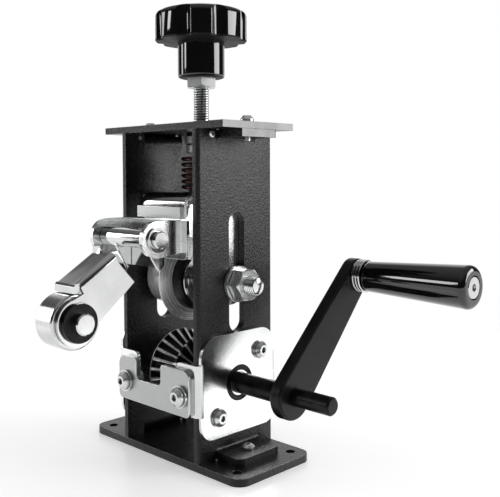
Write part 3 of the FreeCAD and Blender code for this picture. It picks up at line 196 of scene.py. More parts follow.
# ---- material helpers -------------------------------------------------------------------------
class Shading:
    """Short words for building one node material."""

    def __init__(self, name):
        self.material = bpy.data.materials.get(name)
        self.fresh = self.material is None
        if self.fresh:
            self.material = bpy.data.materials.new(name)
            self.material.use_nodes = True
            self.nodes = self.material.node_tree.nodes
            self.links = self.material.node_tree.links
            self.surface = self.nodes["Principled BSDF"]
            self.place = self.nodes.new("ShaderNodeTexCoord").outputs["Object"]

    def put(self, socket, value):
        if isinstance(value, bpy.types.NodeSocket):
            self.links.new(value, socket)
        else:
            socket.default_value = value

    def add(self, kind, **values):
        node = self.nodes.new(kind)
        for key, value in values.items():
            setattr(node, key, value)
        return node

    def mapping(self, scale=(1, 1, 1), centre=(0, 0, 0)):
        node = self.add("ShaderNodeMapping")
        self.put(node.inputs["Vector"], self.place)
        node.inputs["Scale"].default_value = scale
        node.inputs["Location"].default_value = [-c * s for c, s in zip(centre, scale)]
        return node.outputs[0]

    def noise(self, scale, detail=2.0, rough=0.5, source=None):
        node = self.add("ShaderNodeTexNoise")
        self.put(node.inputs["Vector"], source or self.place)
        node.inputs["Scale"].default_value = scale
        node.inputs["Detail"].default_value = detail
        node.inputs["Roughness"].default_value = rough
        return node.outputs["Fac"]

    def spread(self, value, low, high, to_low=0.0, to_high=1.0):
        node = self.add("ShaderNodeMapRange")
        self.put(node.inputs["Value"], value)
        node.inputs["From Min"].default_value = low
        node.inputs["From Max"].default_value = high
        node.inputs["To Min"].default_value = to_low
        node.inputs["To Max"].default_value = to_high
        return node.outputs["Result"]

    def math(self, operation, first, second=0.0):
        node = self.add("ShaderNodeMath", operation=operation)
        self.put(node.inputs[0], first)
        self.put(node.inputs[1], second)
        return node.outputs[0]

    def blend(self, amount, first, second):
        node = self.add("ShaderNodeMix", data_type="RGBA")
        self.put(node.inputs["Factor"], amount)
        for name, value in (("A", first), ("B", second)):
            socket = [s for s in node.inputs if s.name == name and s.type == "RGBA"][0]
            self.put(socket, value if isinstance(value, bpy.types.NodeSocket) else (*value, 1.0))
        return [s for s in node.outputs if s.type == "RGBA"][0]

    def parts(self, vector):
        """X, Y and Z of a vector."""
        node = self.add("ShaderNodeSeparateXYZ")
        self.put(node.inputs[0], vector)
        return node.outputs

    def distance(self, first, second):
        """Distance from an axis, from the two coordinates across it."""
        squares = [self.math("MULTIPLY", value, value) for value in (first, second)]
        return self.math("SQRT", self.math("ADD", *squares))

    def bump(self, height, distance, strength):
        node = self.add("ShaderNodeBump")
        node.inputs["Strength"].default_value = strength
        node.inputs["Distance"].default_value = distance
        self.put(node.inputs["Height"], height)
        return node.outputs[0]

    def recess_shade(self, distance):
        """Mask for painted shade: 0 in sockets, corners and gaps narrower than the distance, 1 on open
        surfaces.
        """
        node = self.add("ShaderNodeAmbientOcclusion", samples=10)
        node.inputs["Distance"].default_value = distance
        return self.spread(node.outputs["AO"], 0.40, 0.85)

    def turn(self, centre):
        """Angle in turns about an axis along X through a point, 0 on its +Y side."""
        x, y, z = self.parts(self.mapping(centre=centre))
        return self.math("DIVIDE", self.math("ARCTAN2", z, y), 2 * math.pi)

    def finish(self, paint, rough, normal=None, metal=0.0, coat=0.0, coat_rough=0.03, gloss=0.5):
        inputs = self.surface.inputs
        inputs["Specular IOR Level"].default_value = gloss
        self.put(inputs["Base Color"], paint)
        self.put(inputs["Roughness"], rough)
        inputs["Metallic"].default_value = metal
        inputs["Coat Weight"].default_value = coat
        inputs["Coat Roughness"].default_value = coat_rough
        if normal is not None:
            self.put(inputs["Normal"], normal)
        return self.material


def tinted(value, factor):
    """A colour made lighter or darker by a factor."""
    return tuple(min(1.0, channel * factor) for channel in value)


def powder_coat(settings):
    """Fine-textured black powder coat with a light grain."""
    shade = Shading("Powder coat")
    if shade.fresh:
        size = 1.0 / settings.grain
        coarse = shade.noise(size, detail=3.0, rough=0.6)
        fine = shade.noise(size * 2.3, detail=1.0)
        flecks = shade.spread(shade.noise(size * 1.35, detail=2.0, rough=0.7), 0.64, 0.78)
        patches = shade.noise(28.0, detail=3.0)
        base = shade.blend(shade.spread(patches, 0.3, 0.7, 0.0, 0.5), settings.plate,
                           tinted(settings.plate, 1.7))
        paint = shade.blend(shade.math("MULTIPLY", flecks, 0.8), base, settings.fleck)
        rough = shade.spread(shade.math("ADD", patches, fine), 0.7, 1.3, 0.20, 0.30)
        normal = shade.bump(coarse, 0.00045, 0.75)
        shade.finish(paint, rough, normal, gloss=0.36)
    return shade.material


def smooth_coat(settings):
    """Smoother, glossier coat on the end faces of the top plate and the top tabs."""
    shade = Shading("Smooth coat")
    if shade.fresh:
        patches = shade.noise(90.0, detail=4.0)
        paint = shade.blend(shade.spread(patches, 0.35, 0.7), settings.plate,
                            tinted(settings.plate, 2.0))
        normal = shade.bump(shade.noise(1500.0, detail=2.0), 0.00004, 0.3)
        shade.finish(paint, shade.spread(patches, 0.3, 0.7, 0.20, 0.30), normal, gloss=1.0)
    return shade.material


def coat_edge(settings):
    """Lighter, shinier rim along the plates' cut edges: a painted highlight in its colour, and a metal
    finish that also reflects the lamps.
    """
    shade = Shading("Coat edge")
    if shade.fresh:
        # Patchy painted highlight along the edges.
        highlight_patches = shade.spread(shade.noise(420.0, detail=3.0), 0.42, 0.62)
        paint = shade.blend(highlight_patches, tinted(settings.rim, 0.25), settings.rim)
        rough = shade.spread(shade.noise(900.0), 0.3, 0.7, 0.20, 0.36)
        shade.finish(paint, rough, metal=0.8)
    return shade.material


def satin_coat(settings):
    """Satin black coat of the crank arm, with faint patches and a fine grain."""
    shade = Shading("Satin coat")
    if shade.fresh:
        patches = shade.noise(45.0, detail=4.0)
        paint = shade.blend(shade.spread(patches, 0.35, 0.7), settings.crank,
                            tinted(settings.crank, 2.2))
        rough = shade.spread(patches, 0.3, 0.7, 0.24, 0.36)
        normal = shade.bump(shade.noise(1900.0, detail=2.0), 0.00008, 0.35)
        shade.finish(paint, rough, normal, gloss=0.22)
    return shade.material


def plated(name, tone, rough_low, rough_high, grain=1300.0, grain_depth=0.00002, cloud=0.08, recess_shade=0.0,
           metal=1.0):
    """Metal with a fine grain, cloudy patches, faint specks and, where asked, painted shade in sockets,
    corners and narrow gaps.
    """
    shade = Shading(name)
    if shade.fresh:
        streaks = shade.noise(1.0, detail=3.0, rough=0.6, source=shade.mapping(scale=(grain,) * 3))
        clouds = shade.noise(60.0, detail=4.0, rough=0.6)
        specks = shade.spread(shade.noise(1400.0, detail=1.0), 0.62, 0.78)
        paint = shade.blend(shade.spread(clouds, 0.3, 0.7), tinted(tone, 1.0 - cloud),
                            tinted(tone, 1.06))
        paint = shade.blend(shade.math("MULTIPLY", specks, 0.25), paint, tinted(tone, 0.55))
        # Painted shade: the base colour turns nearly black in sockets, corners and narrow gaps.
        if recess_shade:
            paint = shade.blend(shade.recess_shade(recess_shade), tinted(tone, 0.02), paint)
        mixed = shade.math("MULTIPLY", shade.math("ADD", streaks, clouds), 0.5)
        rough = shade.spread(mixed, 0.35, 0.65, rough_low, rough_high)
        normal = shade.bump(streaks, grain_depth, 0.6)
        shade.finish(paint, rough, normal, metal=metal)
    return shade.material


def turned_metal(name, tone, axis_point, rough_low, rough_high, ring=2600.0, metal=1.0, teeth=0, gap=0.0,
                 rim=0.0):
    """Metal turned on a lathe about an axis along X: fine rings round the axis. With teeth, the gaps
    between them are painted near black as painted shade, but for the plain rim at the low X end."""
    shade = Shading(name)
    if shade.fresh:
        x, y, z = shade.parts(shade.mapping(centre=axis_point))
        packed = shade.add("ShaderNodeCombineXYZ")
        shade.put(packed.inputs[0], shade.math("ADD", shade.distance(y, z), x))
        shade.put(packed.inputs[1], shade.math("MULTIPLY", y, 0.02))
        rings = shade.noise(ring, detail=3.0, rough=0.7, source=packed.outputs[0])
        clouds = shade.noise(70.0, detail=3.0)
        paint = shade.blend(shade.spread(rings, 0.3, 0.7), tinted(tone, 0.86), tinted(tone, 1.08))
        paint = shade.blend(shade.spread(clouds, 0.45, 0.75, 0.0, 0.25), paint, tinted(tone, 0.6))
        mixed = shade.math("MULTIPLY", shade.math("ADD", rings, clouds), 0.5)
        rough = shade.spread(mixed, 0.35, 0.65, rough_low, rough_high)
        if teeth:
            phase = shade.math("FRACT", shade.math("MULTIPLY", shade.turn(axis_point), teeth))
            off = shade.math("ABSOLUTE", shade.math("SUBTRACT", phase, 0.5))
            land = shade.spread(shade.math("SUBTRACT", 0.5, off), gap / 2 - 0.03, gap / 2 + 0.03)
            land = shade.math("MAXIMUM", land, shade.math("LESS_THAN", x, rim))
            # Painted shade: the gaps between the teeth turn nearly black.
            paint = shade.blend(land, tinted(tone, 0.015), paint)
        normal = shade.bump(rings, 0.00002, 0.5)
        shade.finish(paint, rough, normal, metal=metal)
    return shade.material


def gloss_plastic(settings):
    """Gloss black moulded plastic with faint handling marks."""
    shade = Shading("Gloss plastic")
    if shade.fresh:
        marks = shade.noise(140.0, detail=5.0, rough=0.65)
        paint = shade.blend(shade.spread(marks, 0.4, 0.8), settings.black, tinted(settings.black, 1.8))
        rough = shade.spread(marks, 0.35, 0.75, 0.045, 0.11)
        normal = shade.bump(shade.noise(520.0, detail=1.0), 0.00002, 0.2)
        shade.finish(paint, rough, normal, gloss=0.6, coat=0.6, coat_rough=0.02)
    return shade.material


def matt_plastic(settings):
    """Matt black underside of the knob, as it leaves the mould."""
    shade = Shading("Matt plastic")
    if shade.fresh:
        grain = shade.noise(900.0, detail=2.0)
        paint = shade.blend(shade.spread(grain, 0.3, 0.7), settings.black, tinted(settings.black, 2.5))
        rough = shade.spread(grain, 0.3, 0.7, 0.5, 0.65)
        shade.finish(paint, rough, shade.bump(grain, 0.00006, 0.4), gloss=0.3)
    return shade.material


def dark_oxide(name, tone, rough_low, rough_high):
    """Darkened steel with faint clouds."""
    shade = Shading(name)
    if shade.fresh:
        clouds = shade.noise(160.0, detail=4.0)
        paint = shade.blend(shade.spread(clouds, 0.35, 0.7), tone, tinted(tone, 2.0))
        rough = shade.spread(clouds, 0.3, 0.7, rough_low, rough_high)
        normal = shade.bump(shade.noise(2200.0), 0.00003, 0.3)
        shade.finish(paint, rough, normal, metal=0.85)
    return shade.material


# ---- piece helpers ----------------------------------------------------------------------------
def new_piece(name, mesh, node):
    """Object that stands for a node: rides on the node's body and hides the node."""
    piece = bpy.data.objects.new(name, mesh)
    bpy.context.scene.collection.objects.link(piece)
    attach(piece, BODY_OF[node])
    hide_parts(node)
    return piece


def evaluated(holder):
    """Plain mesh of an object with its modifiers applied; the object itself goes."""
    bpy.context.scene.collection.objects.link(holder)
    graph = bpy.context.evaluated_depsgraph_get()
    made = bpy.data.meshes.new_from_object(holder.evaluated_get(graph), depsgraph=graph)
    bpy.data.objects.remove(holder)
    return made


def smoothed(mesh, crease):
    """Shade a mesh smooth but for the edges sharper than the crease."""
    mesh.polygons.foreach_set("use_smooth", [True] * len(mesh.polygons))
    mesh.set_sharp_from_angle(angle=crease)


def soft_edged(node, materials, width, segments=2):
    """A copy of a node with its doubles merged and its sharp edges rounded; the rounding takes the
    last material."""
    mesh = NODES[node].data.copy()
    work = bmesh.new()
    work.from_mesh(mesh)
    bmesh.ops.remove_doubles(work, verts=work.verts, dist=DOUBLES)
    bmesh.ops.dissolve_limit(work, angle_limit=FLAT, verts=work.verts, edges=work.edges)
    work.to_mesh(mesh)
    work.free()
    mesh.materials.clear()
    for material in materials:
        mesh.materials.append(material)
    smoothed(mesh, CREASE)
    holder = bpy.data.objects.new("holder", mesh)
    bevel = holder.modifiers.new("Edges", "BEVEL")
    bevel.width = width
    bevel.segments = segments
    bevel.limit_method = "ANGLE"
    bevel.angle_limit = CREASE
    bevel.use_clamp_overlap = True
    bevel.material = len(materials) - 1
    bevel.harden_normals = True
    bevel.miter_outer = "MITER_ARC"
    made = evaluated(holder)
    made.name = node + "_shaped"
    return new_piece(node + "_shaped", made, node)


def painted(node, material):
    """The node itself, with its finish."""
    NODES[node].data.materials.clear()
    NODES[node].data.materials.append(material)


def turned(profile):
    """Closed mesh turned about Z, from (radius, z) points that start and end on the axis."""
    work = bmesh.new()
    rings = []
    angles = [2 * math.pi * step / LATHE_STEPS for step in range(LATHE_STEPS)]
    for radius, z in profile:
        if radius == 0.0:
            rings.append([work.verts.new((0, 0, z))])
        else:
            rings.append([work.verts.new((radius * math.cos(turn), radius * math.sin(turn), z))
                          for turn in angles])
    for lower, upper in zip(rings, rings[1:]):
        for step in range(LATHE_STEPS):
            after = (step + 1) % LATHE_STEPS
            corners = []
            for vert in (lower[step % len(lower)], lower[after % len(lower)],
                         upper[after % len(upper)], upper[step % len(upper)]):
                if vert not in corners:
                    corners.append(vert)
            if len(corners) > 2:
                work.faces.new(corners)
    bmesh.ops.recalc_face_normals(work, faces=work.faces)
    mesh = bpy.data.meshes.new("turned")
    work.to_mesh(mesh)
    work.free()
    return mesh


def merged(meshes, name, materials):
    """One mesh from several turned or grown ones, with its own list of materials."""
    work = bmesh.new()
    for mesh in meshes:
        work.from_mesh(mesh)
    result = bpy.data.meshes.new(name)
    work.to_mesh(result)
    work.free()
    for material in materials:
        result.materials.append(material)
    smoothed(result, LATHE_CREASE)
    return result


# ---- geometry node trees ----------------------------------------------------------------------
class Tree:
    """Short words for building one geometry node tree."""

    def __init__(self, name, inputs):
        self.tree = bpy.data.node_groups.new(name, "GeometryNodeTree")
        face = self.tree.interface
        face.new_socket("Geometry", in_out="INPUT", socket_type="NodeSocketGeometry")
        for label, kind, value in inputs:
            socket = face.new_socket(label, in_out="INPUT", socket_type=kind)
            if value is not None:
                socket.default_value = value
        face.new_socket("Geometry", in_out="OUTPUT", socket_type="NodeSocketGeometry")
        self.source = self.tree.nodes.new("NodeGroupInput")
        self.sink = self.tree.nodes.new("NodeGroupOutput")

    def add(self, kind, inputs=None, **values):
        node = self.tree.nodes.new(kind)
        for key, value in values.items():
            setattr(node, key, value)
        for key, value in (inputs or {}).items():
            self.put(node.inputs[key], value)
        return node

    def put(self, socket, value):
        if isinstance(value, bpy.types.NodeSocket):
            self.tree.links.new(value, socket)
        else:
            socket.default_value = value

    def math(self, operation, first, second=0.0):
        node = self.add("ShaderNodeMath", operation=operation)
        self.put(node.inputs[0], first)
        self.put(node.inputs[1], second)
        return node.outputs[0]

    def value(self, label):
        return self.source.outputs[label]

    def close(self, geometry):
        real = self.add("GeometryNodeRealizeInstances", {"Geometry": geometry})
        dressed = self.add("GeometryNodeSetMaterial", {"Geometry": real.outputs[0],
                                                       "Material": self.value("Material")})
        self.put(self.sink.inputs[0], dressed.outputs[0])
        return self.tree


def grown(tree, values):
    """Plain mesh that a tree makes with these input values."""
    holder = bpy.data.objects.new("seed", bpy.data.meshes.new("seed"))
    modifier = holder.modifiers.new("Shape", "NODES")
    modifier.node_group = tree
    for item in tree.interface.items_tree:
        if item.in_out == "INPUT" and item.name in values:
            modifier[item.identifier] = values[item.name]
    made = evaluated(holder)
    if len(made.polygons) == 0:
        raise RuntimeError("the tree %s made no faces" % tree.name)
    return made


def coil_tree():
    """Round wire along a spiral about Z, from z = 0 upwards."""
    tree = Tree("Coil", [
        ("Turns", "NodeSocketFloat", 5.5), ("Steps", "NodeSocketInt", 40),
        ("Coil Radius", "NodeSocketFloat", 0.011), ("Height", "NodeSocketFloat", 0.02),
        ("Wire Radius", "NodeSocketFloat", 0.001), ("Material", "NodeSocketMaterial", None)])
    spiral = tree.add("GeometryNodeCurveSpiral", {
        "Resolution": tree.value("Steps"), "Rotations": tree.value("Turns"),
        "Start Radius": tree.value("Coil Radius"), "End Radius": tree.value("Coil Radius"),
        "Height": tree.value("Height")})
    section = tree.add("GeometryNodeCurvePrimitiveCircle", {
        "Resolution": WIRE_SIDES, "Radius": tree.value("Wire Radius")})
    tube = tree.add("GeometryNodeCurveToMesh", {
        "Curve": spiral.outputs[0], "Profile Curve": section.outputs[0], "Fill Caps": True})
    return tree.close(tube.outputs[0])


def thread_tree():
    """Threaded round bar about Z, from z = 0 upwards, closed at both ends. A flat grid, one turn wide
    and as high as the bar, is rolled up, with its radius less in the valleys and towards the ends."""
    tree = Tree("Thread", [
        ("Radius", "NodeSocketFloat", 0.005), ("Depth", "NodeSocketFloat", 0.0009),
        ("Pitch", "NodeSocketFloat", 0.0015), ("Length", "NodeSocketFloat", 0.02),
        ("Steps", "NodeSocketInt", 40), ("Rows", "NodeSocketInt", 100),
        ("Material", "NodeSocketMaterial", None)])
    turn = 2 * math.pi
    grid = tree.add("GeometryNodeMeshGrid", {
        "Size X": turn, "Size Y": tree.value("Length"),
        "Vertices X": tree.math("ADD", tree.value("Steps"), 1.0),
        "Vertices Y": tree.math("ADD", tree.value("Rows"), 1.0)})
    position = tree.add("GeometryNodeInputPosition")
    split = tree.add("ShaderNodeSeparateXYZ", {"Vector": position.outputs[0]})
    around = split.outputs[0]
    half = tree.math("MULTIPLY", tree.value("Length"), 0.5)
    height = tree.math("ADD", split.outputs[1], half)
    phase = tree.math("SUBTRACT", tree.math("DIVIDE", height, tree.value("Pitch")),
                      tree.math("DIVIDE", around, turn))
    saw = tree.math("FRACT", phase)
    valley = tree.math("ABSOLUTE", tree.math("SUBTRACT", tree.math("MULTIPLY", saw, 2.0), 1.0))
    slope = tree.math("SUBTRACT", tree.math("MULTIPLY", valley, 1.8), 0.5)
    flank = tree.math("MINIMUM", tree.math("MAXIMUM", slope, 0.0), 1.0)
    cut = tree.math("MULTIPLY", flank, tree.value("Depth"))
    radius = tree.math("SUBTRACT", tree.value("Radius"), cut)
    from_end = tree.math("SUBTRACT", half, tree.math("ABSOLUTE", split.outputs[1]))
    lead = tree.math("MINIMUM", tree.math("MULTIPLY", from_end, 1.2), tree.value("Depth"))
    root = tree.math("SUBTRACT", tree.value("Radius"), tree.value("Depth"))
    radius = tree.math("MINIMUM", radius, tree.math("ADD", root, lead))
    inside = tree.math("GREATER_THAN", from_end, 0.000001)
    radius = tree.math("MULTIPLY", radius, inside)
    joined = tree.add("ShaderNodeCombineXYZ", {
        "X": tree.math("MULTIPLY", radius, tree.math("COSINE", around)),
        "Y": tree.math("MULTIPLY", radius, tree.math("SINE", around)), "Z": height})
    moved = tree.add("GeometryNodeSetPosition", {
        "Geometry": grid.outputs[0], "Position": joined.outputs[0]})
    closed = tree.add("GeometryNodeMergeByDistance", {
        "Geometry": moved.outputs[0], "Distance": 0.0000005})
    return tree.close(closed.outputs[0])


def thread(tree, settings, low, high, material):
    """Threaded bar along Z between two heights; its valleys take the second material, a painted shade,
    its ends and crests the first."""
    rows = int(round((high - low) / settings.pitch * THREAD_ROWS))
    mesh = grown(tree, {
        "Radius": THREAD_RADIUS, "Depth": settings.depth, "Pitch": settings.pitch,
        "Length": high - low, "Steps": settings.steps, "Rows": rows, "Material": material})
    mesh.transform(Matrix.Translation((0, 0, low)))
    # Faces deeper than this take the painted valley shade.
    deep = THREAD_RADIUS - 0.6 * settings.depth
    for face in mesh.polygons:
        is_end = abs(face.normal.z) >= 0.95
        face.material_index = 1 if face.center.xy.length < deep and not is_end else 0
    return mesh


# ---- operators --------------------------------------------------------------------------------
def finishes(context):
    """Every shared finish, by its short name."""
    scene = context.scene
    coat = scene.stripper_coat
    metal = scene.stripper_metal
    plastic = scene.stripper_plastic
    shaft = (0, 0, SHAFT_Z)
    return {
        "powder": powder_coat(coat),
        "powder_edge": coat_edge(coat),
        "smooth": smooth_coat(coat),
        "satin": satin_coat(coat),
        "zinc": plated("Zinc plate", metal.zinc, 0.12, 0.22, grain_depth=0.00008),
        "zinc_edge": plated("Zinc edge", tinted(metal.zinc, 1.15), 0.08, 0.16),
        # The screw, nut and polished steel finishes below carry painted shade in their recesses.
        "screw": plated("Screw zinc", metal.zinc, 0.16, 0.28, recess_shade=0.0020, metal=0.8),
        "nut": plated("Nut zinc", metal.zinc, 0.16, 0.28, recess_shade=0.0010, metal=0.4),
        "thread": plated("Thread zinc", tinted(metal.zinc, 1.15), 0.12, 0.22),
        # Painted shade for the thread valleys: zinc darkened nearly to black.
        "valley": plated("Thread valley", tinted(metal.zinc, 0.08), 0.30, 0.40),
        "guide": plated("Guide steel", metal.guide, 0.26, 0.36, cloud=0.04),
        "polish": plated("Polished steel", metal.polish, 0.07, 0.14, grain=300.0,
                         grain_depth=0.000006, cloud=0.06, recess_shade=0.0012),
        "tool": turned_metal("Turned steel", metal.tool, shaft, 0.14, 0.26),
        # The toothed roller's finish paints shade into the gaps between its teeth.
        "toothed": turned_metal("Toothed roller steel", tinted(metal.tool, 1.4), shaft, 0.24, 0.36,
                                metal=0.7, teeth=metal.teeth, gap=metal.tooth_gap,
                                rim=ROLLER_LEFT + metal.tooth_rim),
        "dark": dark_oxide("Dark oxide", metal.dark, 0.26, 0.40),
        "spring": dark_oxide("Spring steel", metal.spring, 0.20, 0.32),
        "plastic": gloss_plastic(plastic),
        "underside": matt_plastic(plastic),
    }


class STRIPPER_OT_plates(Operator):
    """Coat the base, side and top plates and round their cut edges."""
    bl_idname = "stripper.plates"
    bl_label = "Plates"

    def execute(self, context):
        kit = finishes(context)
        width = context.scene.stripper_coat.edge
        for node in ("base_plate", "side_plate_left", "side_plate_right", "top_plate"):
            piece = soft_edged(node, (kit["powder"], kit["powder_edge"]), width)
            piece.data.materials.append(kit["smooth"])
            self.smooth_ends(piece.data, width)
        return {"FINISHED"}

    def smooth_ends(self, mesh, width):
        """Give the outermost end faces above the top line the third material."""
        upper = [abs(point.co.x) for point in mesh.vertices if point.co.z > TOP_LINE]
        reach = max(upper, default=math.inf) - width
        for face in mesh.polygons:
            outside = face.center.z > TOP_LINE and abs(face.center.x) > reach
            if outside and abs(face.normal.x) > 0.9:
                face.material_index = 2


class STRIPPER_OT_brackets(Operator):
    """Plate the bearing brackets, guide plates and arm bracket and round their edges."""
    bl_idname = "stripper.brackets"
    bl_label = "Brackets and guides"

    def execute(self, context):
        kit = finishes(context)
        width = context.scene.stripper_metal.edge
        for node in ("bearing_bracket_left", "bearing_bracket_right", "arm_bracket"):
            soft_edged(node, (kit["zinc"], kit["zinc_edge"]), width)
        for node in ("guide_plate_front", "guide_plate_rear"):
            soft_edged(node, (kit["guide"], kit["zinc_edge"]), width)
        return {"FINISHED"}


class STRIPPER_OT_fasteners(Operator):
    """Finish screws, nuts, washers and rings."""
    bl_idname = "stripper.fasteners"
    bl_label = "Fasteners"

    def execute(self, context):
        kit = finishes(context)
        for node in ("foot_screws", "plate_screws", "top_bolts", "bracket_screws",
                     "guide_screws", "guide_nuts", "cross_bolt_washers", "cross_bolt_nuts",
                     "feed_bush", "lock_nut", "stop_screw"):
            painted(node, kit["screw"])
        painted("jam_nut", kit["nut"])
        for node in ("rod_washer", "shaft_clip", "rod_clip", "pin_clip", "axle_clip", "crank_set_screw",
                     "axle_washer"):
            painted(node, kit["dark"])
        return {"FINISHED"}


class STRIPPER_OT_drive(Operator):
    """Finish the shaft, its bearings, the toothed roller and the spacers."""
    bl_idname = "stripper.drive"
    bl_label = "Drive"

    def execute(self, context):
        kit = finishes(context)
        # Painted shade: the bearing outer rings take the dark finish so the gap round the shaft looks
        # shaded.
        painted("shaft_bearing_outers", kit["dark"])
        painted("shaft_bearing_inners", kit["polish"])
        painted("drive_shaft", kit["dark"])
        painted("roller_spacers", kit["tool"])
        soft_edged("drive_roller", (kit["toothed"], kit["toothed"]), 0.0002, segments=1)
        return {"FINISHED"}


class STRIPPER_OT_crank(Operator):
    """Finish the crank arm, the grip and the metal between them."""
    bl_idname = "stripper.crank"
    bl_label = "Crank and grip"

    def execute(self, context):
        kit = finishes(context)
        painted("crank_arm", kit["satin"])
        painted("crank_grip", kit["plastic"])
        painted("grip_spindle", kit["polish"])
        painted("grip_washers", kit["polish"])
        return {"FINISHED"}


class STRIPPER_OT_carrier(Operator):
    """Finish the blade carrier."""
    bl_idname = "stripper.carrier"
    bl_label = "Carrier"

    def execute(self, context):
        kit = finishes(context)
        width = context.scene.stripper_metal.edge
        soft_edged("carrier_frame", (kit["zinc"], kit["zinc_edge"]), width)
        soft_edged("carrier_cover", (kit["polish"], kit["zinc_edge"]), width)
        soft_edged("carrier_bar", (kit["guide"], kit["zinc_edge"]), width)
        return {"FINISHED"}


class STRIPPER_OT_blade(Operator):
    """Finish the blade, its hub, flange and seal."""
    bl_idname = "stripper.blade"
    bl_label = "Blade"

    def execute(self, context):
        metal = context.scene.stripper_metal
        centre = (0, 0, BOLT_Z)
        ground = turned_metal("Ground blade", tinted(metal.polish, 1.2), centre, 0.20, 0.32,
                              ring=3200.0, metal=0.65)
        seal = turned_metal("Seal ring", metal.polish, centre, 0.08, 0.18)
        kit = finishes(context)
        for node in ("blade_disc", "blade_hub"):
            painted(node, ground)
        for node in ("blade_sleeve", "blade_bush"):
            painted(node, kit["tool"])
        painted("blade_flange", kit["dark"])
        painted("blade_seal", seal)
        return {"FINISHED"}


class STRIPPER_OT_knob(Operator):
    """Finish the star knob."""
    bl_idname = "stripper.knob"
    bl_label = "Star knob"

    def execute(self, context):
        kit = finishes(context)
        width = context.scene.stripper_plastic.edge
        knob = soft_edged("star_knob", (kit["plastic"],), width, segments=3)
        knob.data.materials.append(kit["underside"])
        for face in knob.data.polygons:
            if face.normal.z < -0.6:
                face.material_index = 1
        return {"FINISHED"}


class STRIPPER_OT_threads(Operator):
    """Cut real threads on the knob screw and the cross bolt."""
    bl_idname = "stripper.threads"
    bl_label = "Threads"

    def execute(self, context):
        kit = finishes(context)
        pair = (kit["thread"], kit["valley"])
        settings = context.scene.stripper_thread
        tree = thread_tree()
        self.knob_screw(tree, settings, pair)
        self.blade_bolt(tree, settings, pair)
        return {"FINISHED"}

    def knob_screw(self, tree, settings, pair):
        """Journal through the carrier's cover, thrust collar on it and thread above."""
        low = ROD_LOW.z
        journal = 0.0039
        lead = 0.0005
        edge = 0.0004
        seat = COVER_TOP + 0.00005
        collar = (ROD_HIGH.x - ROD_LOW.x) / 2
        collar_top = seat + 0.004
        plain = turned([
            (0.0, low), (journal - lead, low), (journal, low + lead), (journal, seat),
            (collar - edge, seat), (collar, seat + edge), (collar, collar_top - edge),
            (collar - edge, collar_top), (0.0, collar_top)])
        cut = thread(tree, settings, collar_top - lead, ROD_HIGH.z, pair[0])
        rod = merged([plain, cut], "knob_screw", pair)
        rod.transform(Matrix.Translation((0, ROD_Y, 0)))
        new_piece("knob_screw", rod, "threaded_rod")

    def blade_bolt(self, tree, settings, pair):
        """Plain shank with a thread at each end, which it reaches a little way into."""
        reach = BOLT_HIGH.x
        start = reach - settings.bolt_length
        half = start + 0.0003
        shank = turned([(0.0, -half), (THREAD_RADIUS, -half), (THREAD_RADIUS, half), (0.0, half)])
        upper = thread(tree, settings, start, reach, pair[0])
        lower = upper.copy()
        lower.transform(Matrix.Rotation(math.pi, 4, "X"))
        bolt = merged([shank, upper, lower], "blade_bolt", pair)
        bolt.transform(Matrix.Translation((0, 0, BOLT_Z)) @ Matrix.Rotation(math.pi / 2, 4, "Y"))
        new_piece("blade_bolt", bolt, "cross_bolt")


class STRIPPER_OT_spring(Operator):
    """Wind the pressure spring between the frame and the carrier."""
    bl_idname = "stripper.spring"
    bl_label = "Pressure spring"

    def execute(self, context):
        kit = finishes(context)
        settings = context.scene.stripper_spring
        radius = (SPRING_HIGH.x - SPRING_LOW.x) / 2 - settings.wire
        low = SPRING_LOW.z + settings.wire
        high = SPRING_HIGH.z - settings.wire
        mesh = grown(coil_tree(), {"Turns": settings.turns, "Steps": settings.steps,
                                   "Coil Radius": radius, "Height": high - low,
                                   "Wire Radius": settings.wire, "Material": kit["spring"]})
        mesh.transform(Matrix.Translation((0, ROD_Y, low)))
        wire = merged([mesh], "spring_coil", (kit["spring"],))
        piece = bpy.data.objects.new("spring_coil", wire)
        bpy.context.scene.collection.objects.link(piece)
        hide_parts("pressure_spring")
        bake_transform(piece)
        return {"FINISHED"}


class STRIPPER_OT_arm(Operator):
    """Polish the guide arm, its barrel, strut, roller and axle."""
    bl_idname = "stripper.arm"
    bl_label = "Guide arm"

    def execute(self, context):
        kit = finishes(context)
        width = context.scene.stripper_metal.edge
        soft_edged("guide_arm", (kit["polish"], kit["zinc_edge"]), width)
        soft_edged("arm_strut", (kit["polish"], kit["zinc_edge"]), width)
        for node in ("arm_barrel", "roller_axle", "pivot_pin", "pin_washers"):
            painted(node, kit["polish"])
        low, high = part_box("arm_roller")
        polish = context.scene.stripper_metal.polish
        painted("arm_roller", turned_metal("Turned arm roller", polish, (low + high) / 2, 0.12, 0.24))
        return {"FINISHED"}


